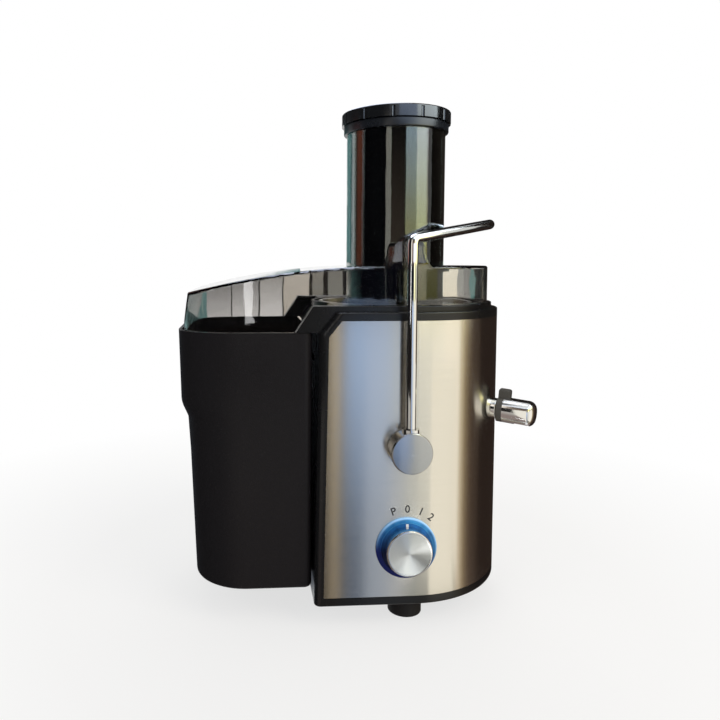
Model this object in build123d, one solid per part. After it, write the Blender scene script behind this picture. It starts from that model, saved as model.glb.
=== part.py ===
from build123d import *
import math
import os

# Wide-mouth centrifugal juice extractor.  Millimetres, +Z up.  It is drawn about the motor axis
# (x = y = 0) with the table at z = 0, the dial facing -Y, the pulp container at -X and the juice
# spout towards +X.  The last section moves everything so that the origin is the middle of its footprint.

# Fits
SEAT = 0.3            # gap between parts that rest on each other but come apart
GLUE = 0.05           # gap between parts fixed to each other
RUN = 0.04            # radial gap of a turning fit
SLIDE = 0.6           # radial gap of a loose sliding fit

# Motor base
BODY_R = 87.0         # half width of the base, and radius of its round end
BODY_H = 226.5        # base cover underside to top deck
LEFT_FOOT = 78.5      # axis to the flat end, at the foot
LEFT_TOP = 75.0       # axis to the flat end, at the shoulder
SHOULDER_X = 62.5     # axis to the top of the sloped shoulder
SHOULDER_DROP = 15.5  # height of the sloped shoulder
CORNER_R = 5.0        # upright corners of the flat end
WALL = 3.0
DECK_T = 3.0
SHELF_UP = 110.0      # base cover underside to the top of the motor shelf
SHELF_T = 3.0
LEDGE_W = 2.0         # ledge under the shelf
LEDGE_H = 2.5
EDGE_R = 1.2          # softened outer edges

# Brushed skin round the base
SKIN_T = 0.8
SKIN_TOP_GAP = 6.1    # black band above it
SKIN_LEFT_GAP = 6.6   # black strip beside it

# Base cover, feet and screws
COVER_H = 6.2
COVER_T = 3.0
FOOT_H = 20.0
FOOT_R = 13.5
FOOT_PEG_R = 4.0
FOOT_INSET = 30.0     # foot's axis inside the base outline
FOOT_CENTRE_X = -1.5
LEDGE_REACH = 34.0    # shelf under the pulp container
LEDGE_HALF = 28.0
VENTS = 12
VENT_W = 4.0
SCREW_R = 2.0
SCREW_HEAD_R = 4.0
SCREW_L = 16.0
POST_R = 6.5
POST_H = 26.0

# Pulp container
TUB_REACH_RIM = 184.0    # axis to its far end, at the rim
TUB_REACH_GRIP = 182.4   # just above the finger ledge
TUB_REACH_STEP = 176.4   # just below it
TUB_REACH_FOOT = 171.2
TUB_NEAR = 79.6          # axis to the wall next to the base
TUB_INSET_RIM = 6.0      # its sides inside the base outline, at the rim
TUB_INSET_FOOT = 8.4     # and at its foot
TUB_CORNER = 42.0
TUB_NEAR_CORNER = 6.0
TUB_WALL = 2.2
TUB_UP = 11.0            # its underside above the base cover's
GRIP_UP = 141.0          # finger ledge above the container's underside
GRIP_H = 13.0
RIM_H = 4.0
RIM_OUT = 0.6
TONGUE_W = 18.0
TONGUE_T = 5.0
TONGUE_L = 11.0
TONGUE_Y = 40.0
TONGUE_DOWN = 26.0       # below the rim

# Juice bowl
FLANGE_INSET = 5.0       # bowl flange inside the base outline
FLANGE_H = 4.5
WELL_R = 70.0            # bore of the bowl
BOWL_WALL = 2.5
BOWL_FLOOR_UP = 160.0    # underside of its floor above the base cover's
CHIMNEY_R = 14.0         # bore of the tube round the drive
CHIMNEY_H = 12.0
RAMP_T = 3.0
RAMP_RUN = 17.5          # width of the cheeks beside the pulp ramp
RAMP_LEAN = 0.66         # lean of the cheeks' far edge
RAMP_HALF = 70.0
DRAIN_R = 5.0
DRAIN_AT = 61.0          # drain, from the motor axis

# Filter basket
HUB_GAP = 2.0
HUB_T = 3.0
GRATER_T = 1.2
GRATER_R = 44.0
TEETH_RINGS = 3
TEETH = 10
SIEVE_FOOT_R = 46.5
SIEVE_GAP = 3.5          # basket rim inside the bowl's bore
SIEVE_T = 0.9
SIEVE_RIM_W = 3.0
SIEVE_RIM_H = 4.0

# Lid and feed chute
LID_INSET = 3.5          # lid wall inside the bowl flange
LID_H = 29.8
LID_T = 2.4
LID_REACH = 180.0        # axis to its far end
LID_CORNER = 41.0
LID_END_H = 29.7         # height of its far end
LID_END_LEAN = 5.0
LID_FLAT = 20.0          # axis to where its top begins to fall
LID_EDGE = 2.0           # rounding round its top
LUG_BASE = 37.0
LUG_WAIST = 23.0
LUG_ROUND = 5.0
LUG_IN = 26.0            # lug, inside the bail arm's inner face
LUG_T = 2.2              # its walls
CHUTE_R = 42.0
CHUTE_T = 2.5
CHUTE_RISE = 111.8
CHUTE_GAP = 6.0          # above the grating disc

# Pusher
PUSHER_T = 2.2
PUSHER_GAP = 8.0         # its foot above the chute's foot
COLLAR_R = 44.6
COLLAR_H = 7.5
CAP_R = 46.4
CAP_H = 9.9
CAP_GROOVES = 12
GROOVE_R = 1.6
CAP_PLUG = 9.0

# Locking bail
PIVOT_X = -8.0
PIVOT_Z = 143.0
ROD_R = 4.0
ARM_OUT = 9.6            # rod centre outside the base
ELBOW_OVER = 20.1        # elbow above the lid
BAR_OVER = 33.9          # crossbar above the lid
BAR_REACH = 78.0         # crossbar from the pivot
BAR_HALF = 46.0
ELBOW_BEND = 4.4
BAR_BEND = 18.0
HUB_R = 15.6
HUB_START = 1.2
HUB_L = 13.0
NECK_R = 6.6
NECK_UP = 17.5
CAP_DOME = 3.4           # thickness of the cap over the hub
CAP_BULGE = 1.2
AXLE_R = 4.0
AXLE_IN = 20.0           # axle end inside the base outline
BUSH_T = 3.0
BUSH_FLANGE = 3.0
CLIP_T = 1.2
BAIL_SWING = 95.0        # degrees
CAM_R = 11.0
CAM_FALL = 3.0           # over the whole swing
CAM_T = 4.0
BUTTON_W = 2.4
BUTTON_L = 9.0
BUTTON_GAP = 0.5
SWITCH_L = 20.0
SWITCH_H = 12.0
SWITCH_W = 8.0

# Dial
DIAL_X = -8.0
DIAL_Z = 65.5
DIAL_R = 23.6
DIAL_T = 1.8
DIAL_STEP_R = 20.6
DIAL_STEP = 3.2
SKIRT_R = 19.6
SKIRT_T = 2.2
KNOB_R = 17.6
KNOB_L = 9.4
KNOB_FACE_R = 15.8
KNOB_FACE_T = 0.8
STEM_R = 3.0
BUSHING_R = 6.0
PIPE_R = 2.0
PIPE_AT = 13.0
BOARD_R = 17.0
BOARD_GAP = 1.2       # board behind the wall
BOARD_T = 1.6
SELECTOR_W = 30.0
SELECTOR_D = 22.0

# Spout
SPOUT_AZ = 34.0          # degrees from +X towards the dial
SPOUT_TILT = 4.0         # degrees down
SPOUT_DROP = 15.2        # its axis at the wall, below the bowl's floor
SPOUT_R = 10.3
SPOUT_L = 25.0
SPOUT_T = 1.8            # wall of its chamber
SPOUT_BORE = 6.6         # fit on the spigot
SPOUT_ROUND = 6.0        # rounding of its closed end
MOUTH_W = 11.0           # outlet in its underside
MOUTH_L = 12.0
MOUTH_IN = 4.0           # outlet's far edge, inside the closed end
COLLAR_OUT_R = 8.2
COLLAR_OUT_L = 4.3
TURN_RING_R = 10.4
TURN_RING_L = 4.7
TAB_W = 6.0
TAB_H = 6.7              # above the ring
TAB_L = 9.4
TAB_ROUND = 2.0
ELBOW_WALL = 2.0
ELBOW_END = 8.0          # closed end beyond the drain
SPIGOT_L = 7.0
ELBOW_FLANGE_R = 14.0
ELBOW_FLANGE_T = 2.0

# Motor
SHAFT_R = 4.0
MOUNT_R = 7.0
MOUNT_H = 5.0
MOUNT_AT = 33.0
BRACKET_T = 4.0
BRACKET_R = 42.0
BRACKET_W = 26.0
LEG_W = 8.0
STATOR_R = 36.0
STATOR_BORE = 22.0
STATOR_H = 36.0
AIR_GAP = 0.5
END_TURN = 6.0
UPPER_LEG = 16.0
LOWER_LEG = 24.0
BEARING_R = 11.0
BEARING_H = 7.0
SEAT_WALL = 3.0
COMMUTATOR_R = 11.0
COMMUTATOR_H = 10.0
BRUSH_W = 5.0
BRUSH_L = 15.0
HOLDER_T = 1.2
FAN_R = 36.0
FAN_H = 8.0
FAN_HUB_R = 9.0
FAN_BLADES = 9
COUPLING_R = 10.0
DOG_FLATS = 13.0
DOG_H = 11.0
SEAL_R = 13.0
SEAL_H = 4.0

# Cord inlet
GLAND_X = -34.0
GLAND_Z = 42.0
GLAND_R = 7.0
GLAND_BORE = 4.0
GLAND_FLANGE = 9.5
GLAND_OUT = 6.0

# Heights and radii that follow
BODY_Z = FOOT_H
COVER_Z = BODY_Z + COVER_H
DECK_Z = BODY_Z + BODY_H
SHOULDER_Z = DECK_Z - SHOULDER_DROP
SEAM_Z = DECK_Z - SKIN_TOP_GAP
SHELF_Z = BODY_Z + SHELF_UP
FLANGE_Z = DECK_Z + FLANGE_H
LID_Z = FLANGE_Z + SEAT
LID_TOP = LID_Z + LID_H
CHUTE_TOP = LID_TOP + CHUTE_RISE
COLLAR_Z = CHUTE_TOP + SEAT
CAP_Z = COLLAR_Z + COLLAR_H
ELBOW_Z = LID_TOP + ELBOW_OVER
BAR_Z = LID_TOP + BAR_OVER
BOWL_Z = BODY_Z + BOWL_FLOOR_UP
SPOUT_Z = BOWL_Z - SPOUT_DROP
CHIMNEY_TOP = BOWL_Z + CHIMNEY_H
HUB_Z = CHIMNEY_TOP + HUB_GAP
GRATER_Z = HUB_Z + HUB_T
CHUTE_FOOT = GRATER_Z + GRATER_T + CHUTE_GAP
PUSHER_FOOT = CHUTE_FOOT + PUSHER_GAP
TUB_Z = BODY_Z + TUB_UP
TUB_RIM = SHOULDER_Z - SEAT
FLANGE_R = BODY_R - FLANGE_INSET
FOOT_SPREAD = BODY_R - FOOT_INSET
TUB_HALF_RIM = BODY_R - TUB_INSET_RIM
TUB_HALF_FOOT = BODY_R - TUB_INSET_FOOT
SIEVE_TOP_R = WELL_R - SIEVE_GAP - SIEVE_RIM_W
LID_R = FLANGE_R - LID_INSET
INNER_R = BODY_R - SKIN_T - WALL
ARM_Y = BODY_R + ARM_OUT
MOUNT_Z = SHELF_Z - SHELF_T - MOUNT_H
UPPER_Z = MOUNT_Z - BRACKET_T
STATOR_TOP = UPPER_Z - UPPER_LEG
STATOR_Z = STATOR_TOP - STATOR_H
LOWER_Z = STATOR_Z - LOWER_LEG - BRACKET_T
CHUTE_BORE = CHUTE_R - CHUTE_T
PUSHER_R = CHUTE_BORE - SLIDE
ELBOW_R = SPOUT_BORE - RUN
FAR = 300.0


def disc(r, z0, z1, x=0.0, y=0.0):
    """Upright cylinder between two heights."""
    return Pos(x, y, z0) * Cylinder(r, z1 - z0, align=(Align.CENTER, Align.CENTER, Align.MIN))


def tube(r_out, r_in, z0, z1, x=0.0, y=0.0):
    """Upright pipe between two heights."""
    return disc(r_out, z0, z1, x, y) - disc(r_in, z0 - 1, z1 + 1, x, y)


def block(x0, x1, y0, y1, z0, z1):
    """Box between two corners."""
    low = (Align.MIN, Align.MIN, Align.MIN)
    return Pos(x0, y0, z0) * Box(x1 - x0, y1 - y0, z1 - z0, align=low)


def slab(face, z0, z1):
    """A plan outline raised between two heights."""
    return Pos(0, 0, z0) * extrude(face, z1 - z0)


def prism(points, half=FAR):
    """A front view outline of (x, z) points, drawn through the machine from front to back."""
    face = make_face(Polyline(*points, close=True))
    return extrude(Plane.XZ * face, half, both=True)


def d_plan(half, left, corner):
    """Plan with a round end on +X, straight sides and a flat end at x = -left."""
    face = Circle(half) + Pos(-left / 2, 0) * Rectangle(left, 2 * half)
    return fillet(face.vertices().group_by(Axis.X)[0], corner)


def side(sign, x, z):
    """Plane whose z runs outwards through the front (-1) or rear (+1) wall and whose y is up."""
    return Plane(origin=(x, 0, z), x_dir=(-sign, 0, 0), z_dir=(0, sign, 0))


def round_top(shape, radius):
    """Rounds the outer edges of a shape's highest face."""
    return fillet(shape.faces().sort_by(Axis.Z)[-1].outer_wire().edges(), radius)


def bent_path(points, bends):
    """Line through the points with each inner corner rounded to its own radius."""
    pts = [Vector(*p) for p in points]
    edges, start = [], pts[0]
    for before, corner, after, bend in zip(pts, pts[1:], pts[2:], bends):
        a, b = (before - corner).normalized(), (after - corner).normalized()
        half = math.radians(a.get_angle(b)) / 2
        first = corner + a * (bend / math.tan(half))
        last = corner + b * (bend / math.tan(half))
        middle = corner + (a + b).normalized() * (bend / math.sin(half) - bend)
        edges += [Line(start, first), ThreePointArc(first, middle, last)]
        start = last
    return Wire(edges + [Line(start, pts[-1])])


def polar(count, radius, start=0.0):
    """Evenly spaced places on a circle, as (x, y, degrees)."""
    for i in range(count):
        a = start + 360.0 * i / count
        yield radius * math.cos(math.radians(a)), radius * math.sin(math.radians(a)), a


def shoulder(inset, low=-FAR):
    """Front view of the base: leaning flat end, sloped shoulder and level deck, drawn in by inset."""
    lean = (LEFT_FOOT - LEFT_TOP) / (SHOULDER_Z - BODY_Z)
    at_low = LEFT_FOOT - lean * (low - BODY_Z)
    outline = [(-at_low, low), (FAR, low), (FAR, DECK_Z), (-SHOULDER_X, DECK_Z), (-LEFT_TOP, SHOULDER_Z)]
    face = make_face(Polyline(*outline, close=True))
    if inset:
        face = offset(face, -inset, kind=Kind.INTERSECTION)
    return extrude(Plane.XZ * face, FAR, both=True)


# Places on the base that several pieces share
LEFT_PLAN = LEFT_FOOT + CORNER_R
POSTS = [(-LEFT_TOP + 18, s * (INNER_R - POST_R / 2)) for s in (-1, 1)]
POSTS += [((INNER_R - POST_R / 2) * math.cos(a), (INNER_R - POST_R / 2) * math.sin(a))
          for a in (math.radians(-52), math.radians(52))]
FEET = {
    "foot_front": (FOOT_CENTRE_X, -FOOT_SPREAD),
    "foot_rear": (FOOT_CENTRE_X, FOOT_SPREAD),
    "foot_left": (FOOT_CENTRE_X - FOOT_SPREAD, 0),
    "foot_right": (FOOT_CENTRE_X + FOOT_SPREAD, 0),
}
AZ = math.radians(SPOUT_AZ)
TILT = math.radians(SPOUT_TILT)
SPOUT_DIR = (math.cos(AZ) * math.cos(TILT), -math.sin(AZ) * math.cos(TILT), -math.sin(TILT))
SPOUT_ORIGIN = (BODY_R * math.cos(AZ), -BODY_R * math.sin(AZ), SPOUT_Z)
SPOUT = Plane(origin=SPOUT_ORIGIN, x_dir=(math.sin(AZ), math.cos(AZ), 0), z_dir=SPOUT_DIR)
DRAIN = (DRAIN_AT * math.cos(AZ), -DRAIN_AT * math.sin(AZ))
BUSH_R = AXLE_R + RUN + BUSH_T
LIGHTS = list(polar(4, PIPE_AT, 45))
MOUNTS = [(x, y) for x, y, _ in polar(4, MOUNT_AT)]
TONGUES = [s * TONGUE_Y for s in (-1, 1)]
TONGUE_Z = TUB_RIM - TONGUE_DOWN


# Motor base

def base_shape(half, inset, z0, z1):
    """The base's outline between two heights, drawn in from its sides."""
    plan = d_plan(half, LEFT_PLAN, CORNER_R)
    return slab(plan, z0, z1) & shoulder(inset)


def soften_flat_end(shape):
    """Rounds the upright corners of the flat end, up to the deck."""
    corners = [e for e in shape.edges()
               if abs(abs(e.center().Y) - BODY_R) < GLUE and e.center().X < -SHOULDER_X]
    return fillet(corners, CORNER_R)


def skin_outline(clear):
    """Front view of the brushed skin, drawn in by a clearance."""
    lean = (LEFT_FOOT - LEFT_TOP) / (SHOULDER_Z - BODY_Z)
    low, high = COVER_Z + SEAT + clear, SEAM_Z - clear
    left = LEFT_TOP - SKIN_LEFT_GAP - clear
    slope = (LEFT_TOP - SHOULDER_X) / SHOULDER_DROP
    knee = SHOULDER_Z - SKIN_TOP_GAP / 2
    return prism([
        (-(left + lean * (knee - low)), low), (FAR, low), (FAR, high),
        (-(left - slope * (high - knee)), high), (-left, knee),
    ])


def wall_holes():
    """Everything that passes through the base's wall."""
    cut = SPOUT * disc(ELBOW_R + GLUE, -WALL * 3, WALL * 3)
    for sign in (-1, 1):
        cut += side(sign, PIVOT_X, PIVOT_Z) * disc(BUSH_R + GLUE, INNER_R - 2, BODY_R + 2)
    front = side(-1, DIAL_X, DIAL_Z)
    cut += front * disc(BUSHING_R + GLUE, INNER_R - 2, BODY_R + 2)
    for x, y, _ in LIGHTS:
        cut += front * disc(PIPE_R + GLUE, INNER_R - 2, BODY_R + 2, x, y)
    cut += side(1, GLAND_X, GLAND_Z) * disc(GLAND_R + GLUE, INNER_R - 2, BODY_R + 2)
    return cut


def housing():
    """Moulded shell: wall with a ledge for the motor shelf, and screw posts at its foot."""
    low, high = COVER_Z + GLUE, SEAM_Z - GLUE
    shell = soften_flat_end(base_shape(BODY_R, 0, low, high))
    shell -= base_shape(INNER_R, WALL, low - 1, high + 1)
    shell -= (slab(d_plan(BODY_R + WALL, LEFT_PLAN, CORNER_R), low, DECK_Z)
              - slab(d_plan(BODY_R - SKIN_T, LEFT_PLAN, CORNER_R), low, DECK_Z)) & skin_outline(0)
    shell -= disc(WELL_R + BOWL_WALL + SEAT, BOWL_Z - WALL, DECK_Z)
    ledge_z = SHELF_Z - SHELF_T - GLUE
    ledge = base_shape(INNER_R + WALL / 2, WALL / 2, ledge_z - LEDGE_H, ledge_z)
    shell += ledge - base_shape(INNER_R - LEDGE_W, WALL + LEDGE_W, 0, DECK_Z)
    inside = slab(d_plan(INNER_R + 1, LEFT_PLAN, CORNER_R), low, DECK_Z)
    for x, y in POSTS:
        shell += disc(POST_R, low, low + POST_H, x, y) & inside
    for x, y in POSTS:
        shell -= disc(SCREW_R, low - 1, low + SCREW_L, x, y)
    for y in TONGUES:
        half = TONGUE_W / 2 + SEAT
        shell -= block(-LEFT_PLAN, -LEFT_TOP + WALL * 2, y - half, y + half,
                       TONGUE_Z - SEAT, TONGUE_Z + TONGUE_T + SEAT)
    return shell - wall_holes()


def top_deck():
    """Rim piece that closes the shell from above, with the bowl's opening."""
    deck = round_deck(soften_flat_end(base_shape(BODY_R, 0, SEAM_Z, DECK_Z)))
    deck -= base_shape(INNER_R, WALL, SEAM_Z - 1, DECK_Z - DECK_T)
    return deck - disc(WELL_R + BOWL_WALL + SEAT, SEAM_Z, DECK_Z + 1)


def motor_shelf():
    """Partition that the motor hangs from, with the safety switch's pad."""
    shelf = base_shape(INNER_R - GLUE, WALL + GLUE, SHELF_Z - SHELF_T, SHELF_Z)
    shelf -= disc(SEAL_R + GLUE, SHELF_Z - SHELF_T - 1, SHELF_Z + 1)
    for x, y in MOUNTS:
        shelf -= disc(SCREW_R + GLUE, SHELF_Z - SHELF_T - 1, SHELF_Z + 1, x, y)
    return shelf + switch_rest()


def round_deck(shape):
    """Softens the deck's outer edge."""
    deck = shape.faces().sort_by(Axis.Z)[-1]
    return fillet(deck.outer_wire().edges(), EDGE_R)


def steel_wrap():
    """Thin brushed skin round the front, the round end and the back."""
    ring = slab(d_plan(BODY_R, LEFT_PLAN, CORNER_R), COVER_Z, DECK_Z)
    ring -= slab(d_plan(BODY_R - SKIN_T + GLUE, LEFT_PLAN, CORNER_R), COVER_Z, DECK_Z)
    return (ring & skin_outline(SEAT)) - wall_holes()


def base_cover():
    """Tray that closes the base from below, with air slots and the container's ledge."""
    tray = soften_flat_end(base_shape(BODY_R, 0, BODY_Z, COVER_Z))
    tray = fillet(tray.faces().sort_by(Axis.Z)[0].outer_wire().edges(), EDGE_R)
    tray -= base_shape(INNER_R, WALL, BODY_Z + COVER_T, COVER_Z + 1)
    for x, y in POSTS:
        tray += disc(POST_R, BODY_Z, COVER_Z, x, y) & slab(
            d_plan(INNER_R + 1, LEFT_PLAN, CORNER_R), BODY_Z, COVER_Z)
    for x, y in POSTS:
        tray -= disc(SCREW_R + GLUE, BODY_Z - 1, COVER_Z + 1, x, y)
        tray -= disc(SCREW_HEAD_R + GLUE, BODY_Z - 1, BODY_Z + COVER_T, x, y)
    near, far = LEFT_FOOT - WALL, LEFT_FOOT + LEDGE_REACH
    tray += block(-far, -near, -LEDGE_HALF, LEDGE_HALF, BODY_Z + 1, COVER_Z)
    tray += block(-far, -LEFT_FOOT - SEAT, -LEDGE_HALF, LEDGE_HALF, COVER_Z, TUB_Z - SEAT)
    for x, y, a in polar(VENTS, FAN_R * 0.68):
        slot = SlotCenterToCenter(FAN_R * 0.4, VENT_W)
        tray -= Pos(x, y, BODY_Z - 1) * Rot(0, 0, a) * extrude(slot, COVER_T + 2)
    for x, y in FEET.values():
        tray -= disc(FOOT_PEG_R + GLUE, BODY_Z - 1, BODY_Z + COVER_T + 1, x, y)
    return tray


def base_screws():
    """Self-tapping screws that hold the base cover."""
    for x, y in POSTS:
        shank = disc(SCREW_R - GLUE, BODY_Z + COVER_T, BODY_Z + SCREW_L, x, y)
        head = disc(SCREW_HEAD_R, BODY_Z + COVER_T / 3, BODY_Z + COVER_T, x, y)
        slot = block(x - SCREW_HEAD_R, x + SCREW_HEAD_R, y - 0.5, y + 0.5, BODY_Z, BODY_Z + COVER_T / 2)
        yield shank + head - slot


def foot(x, y):
    """Rubber foot with a barbed peg through the base cover."""
    pad = disc(FOOT_R, 0, FOOT_H - GLUE, x, y)
    pad = fillet(pad.edges().filter_by(GeomType.CIRCLE), EDGE_R)
    peg = disc(FOOT_PEG_R, FOOT_H - 2, BODY_Z + COVER_T + GLUE, x, y)
    barb = disc(FOOT_PEG_R + 1, BODY_Z + COVER_T + GLUE, BODY_Z + COVER_T + 2, x, y)
    return pad + peg + barb


def cord_gland():
    """Rubber inlet in the rear wall."""
    plane = side(1, GLAND_X, GLAND_Z)
    body = plane * disc(GLAND_R, INNER_R - 2, BODY_R + GLAND_OUT)
    body += plane * disc(GLAND_FLANGE, BODY_R + GLUE, BODY_R + 2)
    body += plane * disc(GLAND_FLANGE, INNER_R - 2, INNER_R - GLUE)
    return body - plane * disc(GLAND_BORE, INNER_R - 3, BODY_R + GLAND_OUT + 1)


# Pulp container

def tub_plan(near, reach, half, far_corner, near_corner):
    """Plan of the container: a wide round far end and a flat near end."""
    face = Pos(-(near + reach) / 2, 0) * Rectangle(reach - near, 2 * half)
    face = fillet(face.vertices().group_by(Axis.X)[0], far_corner)
    return fillet(face.vertices().group_by(Axis.X)[-1], near_corner)


def tub_loft(inset, floor, top):
    """Tapering container body with its finger ledge, drawn in by inset."""
    grip = TUB_Z + GRIP_UP
    levels = [
        (floor, TUB_REACH_FOOT, TUB_HALF_FOOT),
        (grip - GRIP_H, TUB_REACH_STEP, None),
        (grip, TUB_REACH_GRIP, None),
        (top, TUB_REACH_RIM, TUB_HALF_RIM),
    ]
    sections = []
    for z, reach, half in levels:
        if half is None:
            share = (z - TUB_Z) / (TUB_RIM - TUB_Z)
            half = TUB_HALF_FOOT + (TUB_HALF_RIM - TUB_HALF_FOOT) * share
        plan = tub_plan(TUB_NEAR + inset, reach - inset, half - inset,
                        TUB_CORNER - inset, TUB_NEAR_CORNER - inset)
        sections.append(Pos(0, 0, z) * plan)
    return loft(sections, ruled=True)


def pulp_container():
    """Open container with a rolled rim and two tongues that plug into the base."""
    body = tub_loft(0, TUB_Z, TUB_RIM)
    body = fillet(body.faces().sort_by(Axis.Z)[0].outer_wire().edges(), TUB_NEAR_CORNER / 2)
    lip = tub_plan(TUB_NEAR, TUB_REACH_RIM + RIM_OUT, TUB_HALF_RIM + RIM_OUT,
                   TUB_CORNER + RIM_OUT, TUB_NEAR_CORNER)
    body += slab(lip, TUB_RIM - RIM_H, TUB_RIM)
    for y in TONGUES:
        root = block(-TUB_NEAR - TUB_WALL, -TUB_NEAR + TONGUE_L, y - TONGUE_W / 2, y + TONGUE_W / 2,
                     TONGUE_Z, TONGUE_Z + TONGUE_T)
        body += root
    return body - tub_loft(TUB_WALL, TUB_Z + TUB_WALL, TUB_RIM + RIM_H)


# Juice bowl and lid

def cheek_x(z):
    """Far edge of the cheeks beside the pulp ramp, at a height."""
    return -(LEFT_TOP + RAMP_RUN - RAMP_LEAN * (z - SHOULDER_Z))


def slope_x(z):
    """Sloped shoulder of the base, at a height."""
    return -(LEFT_TOP - (LEFT_TOP - SHOULDER_X) * (z - SHOULDER_Z) / SHOULDER_DROP)


def juice_bowl():
    """Well with a drive tube and drain, a flange over the deck, and the ramp into the container."""
    low, foot_z = DECK_Z + GLUE, SHOULDER_Z + GLUE
    gap = GLUE * 2
    outline = prism([
        (FAR, low), (FAR, FLANGE_Z), (cheek_x(FLANGE_Z), FLANGE_Z), (cheek_x(foot_z), foot_z),
        (slope_x(foot_z) - gap, foot_z), (slope_x(low) - gap, low),
    ])
    plan = d_plan(FLANGE_R, LEFT_TOP + RAMP_RUN + CORNER_R, CORNER_R)
    bowl = round_top(slab(plan, SHOULDER_Z - 5, FLANGE_Z) & outline, EDGE_R * 2 / 3)
    trough = prism([
        (slope_x(FLANGE_Z + 1) - RAMP_T, FLANGE_Z + 1), (slope_x(foot_z - 1) - RAMP_T, foot_z - 1),
        (-FAR, foot_z - 1), (-FAR, FLANGE_Z + 1),
    ], RAMP_HALF)
    outer = WELL_R + BOWL_WALL
    bowl -= trough
    bowl += disc(outer, BOWL_Z, FLANGE_Z)
    bowl -= disc(WELL_R, BOWL_Z + BOWL_WALL, FLANGE_Z + 1)
    bowl += disc(CHIMNEY_R + BOWL_WALL, BOWL_Z, CHIMNEY_TOP)
    bowl -= disc(CHIMNEY_R, BOWL_Z - 1, CHIMNEY_TOP + 1)
    bowl += disc(DRAIN_R + BOWL_WALL / 2, drain_foot(), BOWL_Z + 1, *DRAIN)
    return bowl - disc(DRAIN_R, drain_foot() - 1, BOWL_Z + BOWL_WALL + 1, *DRAIN)


def drain_foot():
    """Lower end of the bowl's drain."""
    return BOWL_Z - CHIMNEY_H


def lid_outline(inset, low):
    """Front view of the lid: level top falling in an arc to a leaning end, drawn in by inset."""
    top, end_z = LID_TOP - inset, TUB_RIM + SEAT
    end_top = end_z + LID_END_H - inset
    end_x = -(LID_REACH - LID_END_LEAN) + inset
    run, fall = -LID_FLAT - end_x, top - end_top
    radius = (run ** 2 + fall ** 2) / (2 * fall)
    middle = math.asin(run / radius) / 2
    sag = (-LID_FLAT - radius * math.sin(middle), top - radius * (1 - math.cos(middle)))
    foot_z = low if inset else end_z
    foot_x = -LID_REACH + inset
    edges = [
        Line((FAR, top), (-LID_FLAT, top)),
        ThreePointArc((-LID_FLAT, top), sag, (end_x, end_top)),
        Line((end_x, end_top), (foot_x, end_z)),
    ]
    points = [(foot_x, end_z)]
    if inset:
        points += [(foot_x, foot_z), (FAR, foot_z), (FAR, top)]
    else:
        start = cheek_x(end_z) - SEAT
        points += [(start, end_z), (cheek_x(LID_Z) - SEAT, LID_Z), (FAR, LID_Z), (FAR, top)]
    edges.append(Polyline(*points))
    return extrude(Plane.XZ * make_face(edges), FAR, both=True)


LUG_OUT = ARM_Y - ROD_R - 2 * NECK_R / 3
LUG_Z = LID_TOP - LID_T


def bar_at(y):
    """The bail's slanting bar at a distance from the middle plane, as (x, z)."""
    share = (ARM_Y - y) / (ARM_Y - BAR_HALF)
    return PIVOT_X + BAR_REACH * share, ELBOW_Z + (BAR_Z - ELBOW_Z) * share


def lug_bell(inset):
    """Front view of a lug drawn in by inset, and how far from the pivot the bail lets it reach."""
    x, z = bar_at(LUG_OUT)
    reach = math.hypot(x - PIVOT_X, z - PIVOT_Z) - ROD_R - SEAT
    height = PIVOT_Z + reach - LUG_Z
    foot, waist, knee = LUG_BASE / 2, LUG_WAIST / 2, height - LUG_ROUND
    flank = (waist + (foot - waist) * 0.3, knee * 0.42)
    crown = (waist - LUG_ROUND * 0.3, height - LUG_ROUND * 0.3)
    edges = [Line((-foot, 0), (foot, 0)), Line((LUG_ROUND - waist, height), (waist - LUG_ROUND, height))]
    for s in (-1, 1):
        bend = (s * waist, knee)
        edges.append(ThreePointArc((s * foot, 0), (s * flank[0], flank[1]), bend))
        edges.append(ThreePointArc(bend, (s * crown[0], crown[1]), (s * (waist - LUG_ROUND), height)))
    bell = make_face(edges)
    if inset:
        opening = Rectangle(LUG_BASE - 4 * inset, inset + 2 * LID_T)
        bell = offset(bell, -inset) + Pos(0, inset / 2 - LID_T) * opening
    return bell, reach - inset


def lug_part(sign, inset, near, far):
    """A lug's outline between two distances from the middle plane."""
    bell, reach = lug_bell(inset)
    ear = side(sign, PIVOT_X, LUG_Z) * Pos(0, 0, near) * extrude(bell, far - near)
    return ear & side(sign, PIVOT_X, PIVOT_Z) * disc(reach, 0, FAR)


def lid_lug(sign):
    """Bell-shaped ear that the bail's arm holds down."""
    return lug_part(sign, 0, LUG_OUT - LUG_IN, LUG_OUT)


def lug_hollows(sign):
    """The lug's two hollows, open below, with the lid's wall carried up between them."""
    return (lug_part(sign, LUG_T, LUG_OUT - LUG_IN + LUG_T, LID_R - LID_T)
            + lug_part(sign, LUG_T, LID_R, LUG_OUT - LUG_T))


def lid_cover():
    """Clear lid over bowl and container, with a lug at each side for the bail."""
    low = SHOULDER_Z - 20
    shell = slab(d_plan(LID_R, LID_REACH, LID_CORNER), low, LID_TOP) & lid_outline(0, low)
    tops = [f for f in shell.faces() if f.normal_at().Z > 0.5]
    seen = [e for f in tops for e in f.edges()]
    shell = fillet([e for e in seen if seen.count(e) == 1], LID_EDGE)
    for sign in (-1, 1):
        shell += lid_lug(sign)
    inner = slab(d_plan(LID_R - LID_T, LID_REACH - LID_T, LID_CORNER - LID_T), low - 1, LID_TOP)
    shell -= inner & lid_outline(LID_T, low - 1)
    for sign in (-1, 1):
        shell -= lug_hollows(sign)
    return shell - disc(CHUTE_R + GLUE, low, LID_TOP + 1)


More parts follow.
